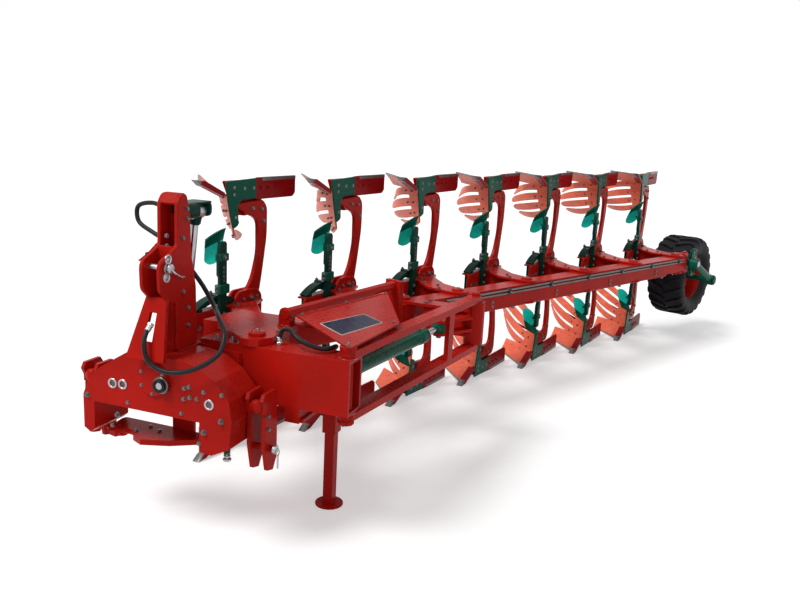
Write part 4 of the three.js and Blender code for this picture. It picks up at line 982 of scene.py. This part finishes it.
BOX_TOP = 145
YOKE_PLATE = 185.4
YOKE_TOP = 195.4
BEAM_SIDE = 75
PIN_CAP = 44
INNER_PIN = Vector((-125, 353, 0))
OUTER_PIN = Vector((-125, 870, 0))
CROSSHEAD_PIN = station(1135)
CROSSHEAD_OUTER = CROSSHEAD_PIN + OUTER_PIN - INNER_PIN
POST_SHARE = 0.715
POST_END = 144
WIDTH_FOOT = Vector((-285, 770, 0))
WIDTH_HEAD = CROSSHEAD_OUTER + Vector((270.1, -163.1, 0))
WIDTH_LINE = (WIDTH_HEAD - WIDTH_FOOT).normalized()
WIDTH_EYE = 56
WIDTH_PORTS = (126, 920)
WHEEL_SWIVEL = station(5310)


def cross_box_fittings(s):
    """Bolts of the crank disc and the box's top, welds, pin heads and the stand's pin."""
    s.bolts("x", -30, 1, arc((0, 0), 106, 60, 300, 10), 12)
    s.bolts("z", BOX_TOP, 1, [(-70, 150), (-70, 240), (-190, 150), (-190, 240)], 15, stub=14)
    s.bolts("z", BOX_TOP, 1, [(-75, 285)], 18, stub=26)
    s.weld(around("y", (-204, -56), (-139, 139), 908), 4)
    s.weld([(-48, 300, 60), (-48, 300, -60)])
    for out in (UP, -UP):
        lug = WIDTH_FOOT + out * 48.4
        s.collar(OUTER_PIN + out * (BOX_TOP - 1), out, 33, 48, 1.2, "steel")
        s.bolt(lug, out, 24)
        s.turned([(36, -2), (36, 5), (32, 8)], lug, out, "red")
    pin = Vector((-543, 604, -300))
    s.bar(pin - Y * 62, pin + Y * 66, 11, "steel", 18)
    handle = [pin + Y * y - UP * drop for y, drop in ((64, 0), (84, 4), (90, 40), (88, 76))]
    s.tube(smooth_path(handle), 5, "steel", 10)
    s.weld([(-503, 564, -227), (-503, 644, -227), (-583, 644, -227), (-583, 564, -227)], 5)
    s.bolts("z", -226, -1, [(-110, 590), (-110, 620)], 12)


def beam_fittings(s):
    """Caps over the beam's end pins, bolts of the yoke and the clamps, and welds."""
    for up, out in ((1, UP), (-1, -UP)):
        s.cap(INNER_PIN + out * YOKE_TOP, out, PIN_CAP)
        s.bolts("z", up * YOKE_PLATE, up, [(-200, 330), (-230, 420), (-420, 330), (-420, 410)], 14)
        s.cap(WHEEL_SWIVEL + out * 98, out, 32)
    start, foot = Vector((-355, 381, 250)), station(889, 157.5, 250)
    for end, way in ((start, foot - start), (foot, start - foot)):
        s.turned([(33, 4), (37, 6), (37, 20), (33, 22)], end, way, "red", 28)
    s.weld(around("z", (-424, -356), (349, 414), 187))
    base = station(889, 80, 77)
    s.weld([base - REAR * 20, base + REAR * 20])
    for k in range(1, FURROWS - 1):
        for z in (-22, -56):
            s.bolt(station(SPACING * k + 330, BEAM_SIDE + 0.5, z), LEFT, 12)
    for along, aside in ((-350, BEAM_SIDE + 1), (5215, BEAM_SIDE)):
        s.weld([station(along, aside, -70), station(along, aside, 70)], 5)


def beam_pipes(s):
    """Two pipes for the depth wheel's ram along the beam, in their clamps."""
    first, last = 1500, 5150
    way = [(first, 3), (first + 14, 12), (first + 60, 12), (last - 60, 12), (last - 14, 12), (last, 3)]
    for z in (30, 54):
        s.tube([station(along, BEAM_SIDE + off, z) for along, off in way], 8, "bolt", 12)
    for along in range(first + 160, last, 560):
        clamp = station(along, BEAM_SIDE, 42)
        s.bar(clamp - REAR * 18, clamp + REAR * 18, 27, "hose", 20)
        s.bolt(clamp + LEFT * 25, LEFT, 9)


def linkage_fittings(s):
    """Caps of the outer link's front pin on the link itself, and the post's welds."""
    half = (CROSSHEAD_OUTER - OUTER_PIN).normalized() * 34
    post = OUTER_PIN.lerp(CROSSHEAD_OUTER, POST_SHARE)
    for out in (UP, -UP):
        s.cap(OUTER_PIN + out * YOKE_TOP, out, PIN_CAP)
        s.weld([post - half + out * POST_END, post + half + out * POST_END])


def crosshead_fittings(s):
    """Caps of its two pins, the rod's bolt, and the bolts of its plates."""
    for out in (UP, -UP):
        s.cap(CROSSHEAD_PIN + out * (PLATE_TOP + 10), out, PIN_CAP)
        s.cap(CROSSHEAD_OUTER + out * YOKE_TOP, out, 28, nipple=False)
        s.bolt(WIDTH_HEAD + out * 52, out, 20)
        for share in (0.35, 0.65):
            point = CROSSHEAD_PIN.lerp(CROSSHEAD_OUTER, share)
            for aside in (-40, 40):
                s.bolt(point + AHEAD * aside + out * PLATE_TOP, out, 14)


def width_barrel(s):
    """Barrel of the width cylinder with its end caps, ports and tie ring."""
    line = WIDTH_LINE
    s.collar(WIDTH_FOOT - UP * WIDTH_EYE / 2, UP, 22.6, 46, WIDTH_EYE, "green", 36)
    s.turned([(28, 36), (28, 92), (44, 96), (49, 100), (49, 150), (46, 154), (46, 880),
        (50, 884), (50, 960), (46, 972), (30, 973)], WIDTH_FOOT, line, "green", 40)
    for along in WIDTH_PORTS:
        port = WIDTH_FOOT + line * along
        s.turned([(15, 40), (15, 62), (12, 64)], port, UP, "steel", 6)
        s.turned([(10, 60), (10, 78), (8, 80)], port, UP, "steel", 14)
    for u, v in circle((0, 0), 38, 8):
        s.bolt(WIDTH_FOOT + line * 972 + line.cross(UP) * u + UP * v, line, 7)
    first, last = WIDTH_PORTS
    pipe = [(first, 76), (first + 54, 74), ((first + last) / 2 - 3, 62), (last - 60, 74), (last, 76)]
    s.tube(smooth_path([WIDTH_FOOT + line * along + UP * z for along, z in pipe]), 6, "steel", 12)


def width_rod(s):
    """Chromed rod of the width cylinder with its eye."""
    line = WIDTH_LINE
    s.bar(WIDTH_FOOT + line * 884, WIDTH_HEAD - line * 32, 21.6, "chrome", 36)
    s.turned([(26, -78), (30, -74), (34, -40), (34, -30)], WIDTH_HEAD, line, "green", 28)
    s.collar(WIDTH_HEAD - UP * WIDTH_EYE / 2, UP, 31, 46, WIDTH_EYE, "green", 36)


def steering_ends(s):
    """Threaded ends and lock nuts of the steering rod."""
    aside = Vector((-30, -112, 0))
    aside.rotate(Matrix.Rotation(-HEADING, 3, "Z"))
    for along in (-54, SPACING * (FURROWS - 1) + 54):
        end = station(along) + aside - UP * 137
        way = -REAR if along < 0 else REAR
        s.turned([(28, -26), (28, -8), (24, -4), (20, 0)], end, way, "steel", 6)


piece("cross_box_fittings", filled(cross_box_fittings), "turnover")
piece("beam_fittings", filled(beam_fittings), "beam")
piece("beam_pipes", filled(beam_pipes), "beam")
piece("link_fittings", filled(linkage_fittings), "outer_link")
piece("crosshead_fittings", filled(crosshead_fittings), "crosshead")
piece("width_barrel_form", filled(width_barrel), "width_barrel", ["width_cylinder_barrel"])
piece("width_rod_form", filled(width_rod), "width_rod", ["width_cylinder_rod"])
piece("steering_ends", filled(steering_ends), "steering")


# Cover over the linkage

COVER_HEIGHT = 262
COVER_SLOPE = Vector((-0.016, -0.0616, 1))


def on_cover(point):
    """A plan point and its height over the cover's sloping underside."""
    return Vector((point.x, point.y, COVER_HEIGHT + COVER_SLOPE.dot(point)))


def cover(s):
    """Sheet with a folded rim, a bare plaque in a pale border, straps and bolts."""
    outline = rounded([(-60, 905), (-640, 950), (-1230, 640), (-400, 428)], 26, 4)
    s.prism(outline, "z", 0, 5, "red", 1.5)
    rim = [(x, y, -1.5) for x, y in inset(outline, 5)]
    s.tube(rim, 5, "red", 8, closed=True)
    plaque = [(-335, 606), (-224, 787), (-580, 874), (-667, 722)]
    s.prism(rounded(plaque, 10, 3), "z", 4.5, 6, "cream", 0.5)
    s.prism(rounded(inset(plaque, 7), 8, 3), "z", 5.5, 6.8, "navy", 0.5)
    s.bolts("z", 5, 1, [(-90, 880), (-620, 920), (-1180, 650), (-420, 460), (-810, 545)], 10)
    ridge = [(-440, 470, 5), (-800, 556, 5), (-1160, 640, 5)]
    s.tube(smooth_path(ridge), 5, "red", 10)


piece("cover_sheet", filled(cover, warp=on_cover), "beam", ["cover_panel"])


# Depth wheel, in its own frame: axle along Y, its middle at the origin

WHEEL_YAW = radians(-21)
WHEEL_AT = placed(WHEEL_SWIVEL + Vector((-550.3, -27.3, 0)), WHEEL_YAW)
AXLE = Vector((0, 0, -230))
LUGS = 22
LUG_ROWS = ((4, 0, 0.045, 415, 441), (60, 0.07, 0.050, 414, 442), (120, 0.13, 0.056, 410, 442),
    (165, 0.17, 0.064, 398, 434), (188, 0.18, 0.070, 380, 414),
    (197, 0.185, 0.066, 352, 385))
SWIVEL_X = 504


def tyre(s):
    """Carcass with shoulder and bead lines, and chevron lugs on both halves."""
    half = [(239, 139), (250, 152), (280, 178), (300, 190), (306, 190), (312, 193), (350, 197),
        (385, 193), (404, 178), (414, 150), (420, 80), (421, 0)]
    profile = half + [(r, -y) for r, y in half[-2::-1]]
    s.turned(profile, AXLE, Y, "rubber", 64, closed=True)
    for side in (1, -1):
        for k in range(LUGS):
            start = 2 * pi * (k + (0.5 if side > 0 else 0)) / LUGS
            rings = []
            for y, lean, width, low, high in LUG_ROWS:
                corners = ((-width, low), (-width * 0.7, high), (width * 0.7, high), (width, low))
                turned = [(start + lean + angle, radius) for angle, radius in corners]
                rings.append([AXLE + Vector((radius * cos(a), side * y,
                    radius * sin(a))) for a, radius in turned])
            s.rings(rings, "rubber")


def rim(s):
    """Dished rim with hand holes, hub, wheel bolts and cap."""
    s.turned([(241, 150), (244, 146), (232, 120), (226, 60), (226, -60), (232, -120),
        (244, -146), (241, -150), (222, -118), (214, -60), (214, 60), (222, 118)],
        AXLE, Y, "red", 56, closed=True)
    s.turned([(218, 2), (218, 14), (150, 26), (96, 34), (60, 34), (60, 4), (150, 2)], AXLE, Y,
        "red", 48, closed=True)
    s.collar(AXLE + Y * 12, Y, 56, 78, 60, "red", 40)
    s.turned([(69, -88), (69, 8), (60, 10)], AXLE, Y, "red", 40)
    s.turned([(50, -96), (56, -92), (69, -86)], AXLE, Y, "steel", 36)
    wheel_bolts = circle((0, AXLE.z), 108, 6)
    s.bolts("y", 30, 1, wheel_bolts, 14, stub=6)
    s.bolts("y", 2, -1, wheel_bolts, 14)
    for x, z in circle((0, AXLE.z), 168, 4, 45):
        s.collar((x, 1, z), Y, 20, 27, 30, "worn_steel", 24)


def wheel_mount(s):
    """Green plates of the tail swivel."""
    outline = [(500, -60), (500, 60), (482, 138), (392, 150), (356, 62), (356, -62), (392, -150),
        (482, -138)]
    for low, high in ((276, 287), (296, 304)):
        s.prism(rounded(outline, 24, 4), "y", low, high, "green", 3)
    for x, z in ((466, 112), (406, 122), (406, -122), (466, -112)):
        s.bar((x, 285, z), (x, 298, z), 16, "green", 20)
        s.bolt((x, 304, z), Y, 13)
    s.turned([(31, 383), (31, 388), (27, 391)], (SWIVEL_X, 0, 0), Y, "steel", 28)


def arm_fittings(s):
    """Hub cap with its bolts, the swivel's collar, and two grease nipples."""
    s.turned([(52, 382), (52, 392), (44, 398), (10, 399)], AXLE, Y, "dark_green", 32)
    s.bolts("y", 396, 1, circle((0, AXLE.z), 36, 5), 7)
    s.collar((SWIVEL_X, 379, 0), Y, 34, 56, 7, "dark_green", 32)
    for x, z in ((SWIVEL_X, 0), (0, AXLE.z)):
        s.nipple((x, 345, z + 56), UP)


piece("wheel_form", filled(tyre, rim), "depth_wheel", ["depth_wheel"], WHEEL_AT, smooth=32)
piece("wheel_mount", filled(wheel_mount), "wheel_swivel", (), WHEEL_AT)
piece("arm_fittings", filled(arm_fittings), "wheel_arm", (), WHEEL_AT)


# Materials of the CAD nodes that show

GREEN_NODES = ("wheel_swivel", "wheel_arm")
for name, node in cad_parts.items():
    for holder in node.material_slots:
        holder.material = MATERIALS["green" if name in GREEN_NODES else "red"]


# Floor and light

WHITE = (1, 1, 1, 1)
FLOOR_REACH = 60
FLOOR_LIFT = 0.42
WORLD_LIGHT = 0.36


def seen(tree, unseen_value, seen_value):
    """One value for what the camera and gloss see, another for the light on the object."""
    rays = add(tree, "LightPath").outputs
    eye = combined(tree, "MAXIMUM", rays["Is Camera Ray"], rays["Is Glossy Ray"])
    return span(tree, eye, 0, 1, unseen_value, seen_value)


def floor_matter():
    """Pale matter, lifted to white for the camera and gloss, that keeps the shadow."""
    material, tree, shader = new_tree("floor_pale")
    cloud = noise(tree, rest_places(tree), 3, 5)
    tone = mixed(tree, span(tree, cloud, 0.3, 0.7), shade(WHITE, 0.70), shade(WHITE, 0.72))
    feed(tree, shader, {"Base Color": tone, "Roughness": 0.9, "Specular IOR Level": 0.1,
        "Emission Color": WHITE, "Emission Strength": seen(tree, 0, FLOOR_LIFT)})
    return material


floor_mesh = bpy.data.meshes.new("floor")
floor_mesh.from_pydata([(x * FLOOR_REACH, y * FLOOR_REACH, 0)
    for x, y in ((-1, -1), (1, -1), (1, 1), (-1, 1))], [], [(0, 1, 2, 3)])
floor_mesh.materials.append(floor_matter())
floor = bpy.data.objects.new("floor", floor_mesh)
scene.collection.objects.link(floor)

world = bpy.data.worlds.new("studio")
scene.world = world
world.use_nodes = True
sky = world.node_tree
feed(sky, sky.nodes["Background"], {"Color": WHITE, "Strength": seen(sky, WORLD_LIGHT, 1.0)})


def sun(name, direction, strength, softness):
    data = bpy.data.lights.new(name, "SUN")
    data.energy = strength
    data.angle = radians(softness)
    obj = bpy.data.objects.new(name, data)
    scene.collection.objects.link(obj)
    obj.rotation_euler = (-Vector(direction)).to_track_quat("-Z", "Y").to_euler()


sun("key", (0.60, -0.45, 1.0), 2.3, 22)
sun("fill", (0.6, 1.0, 0.5), 0.25, 40)
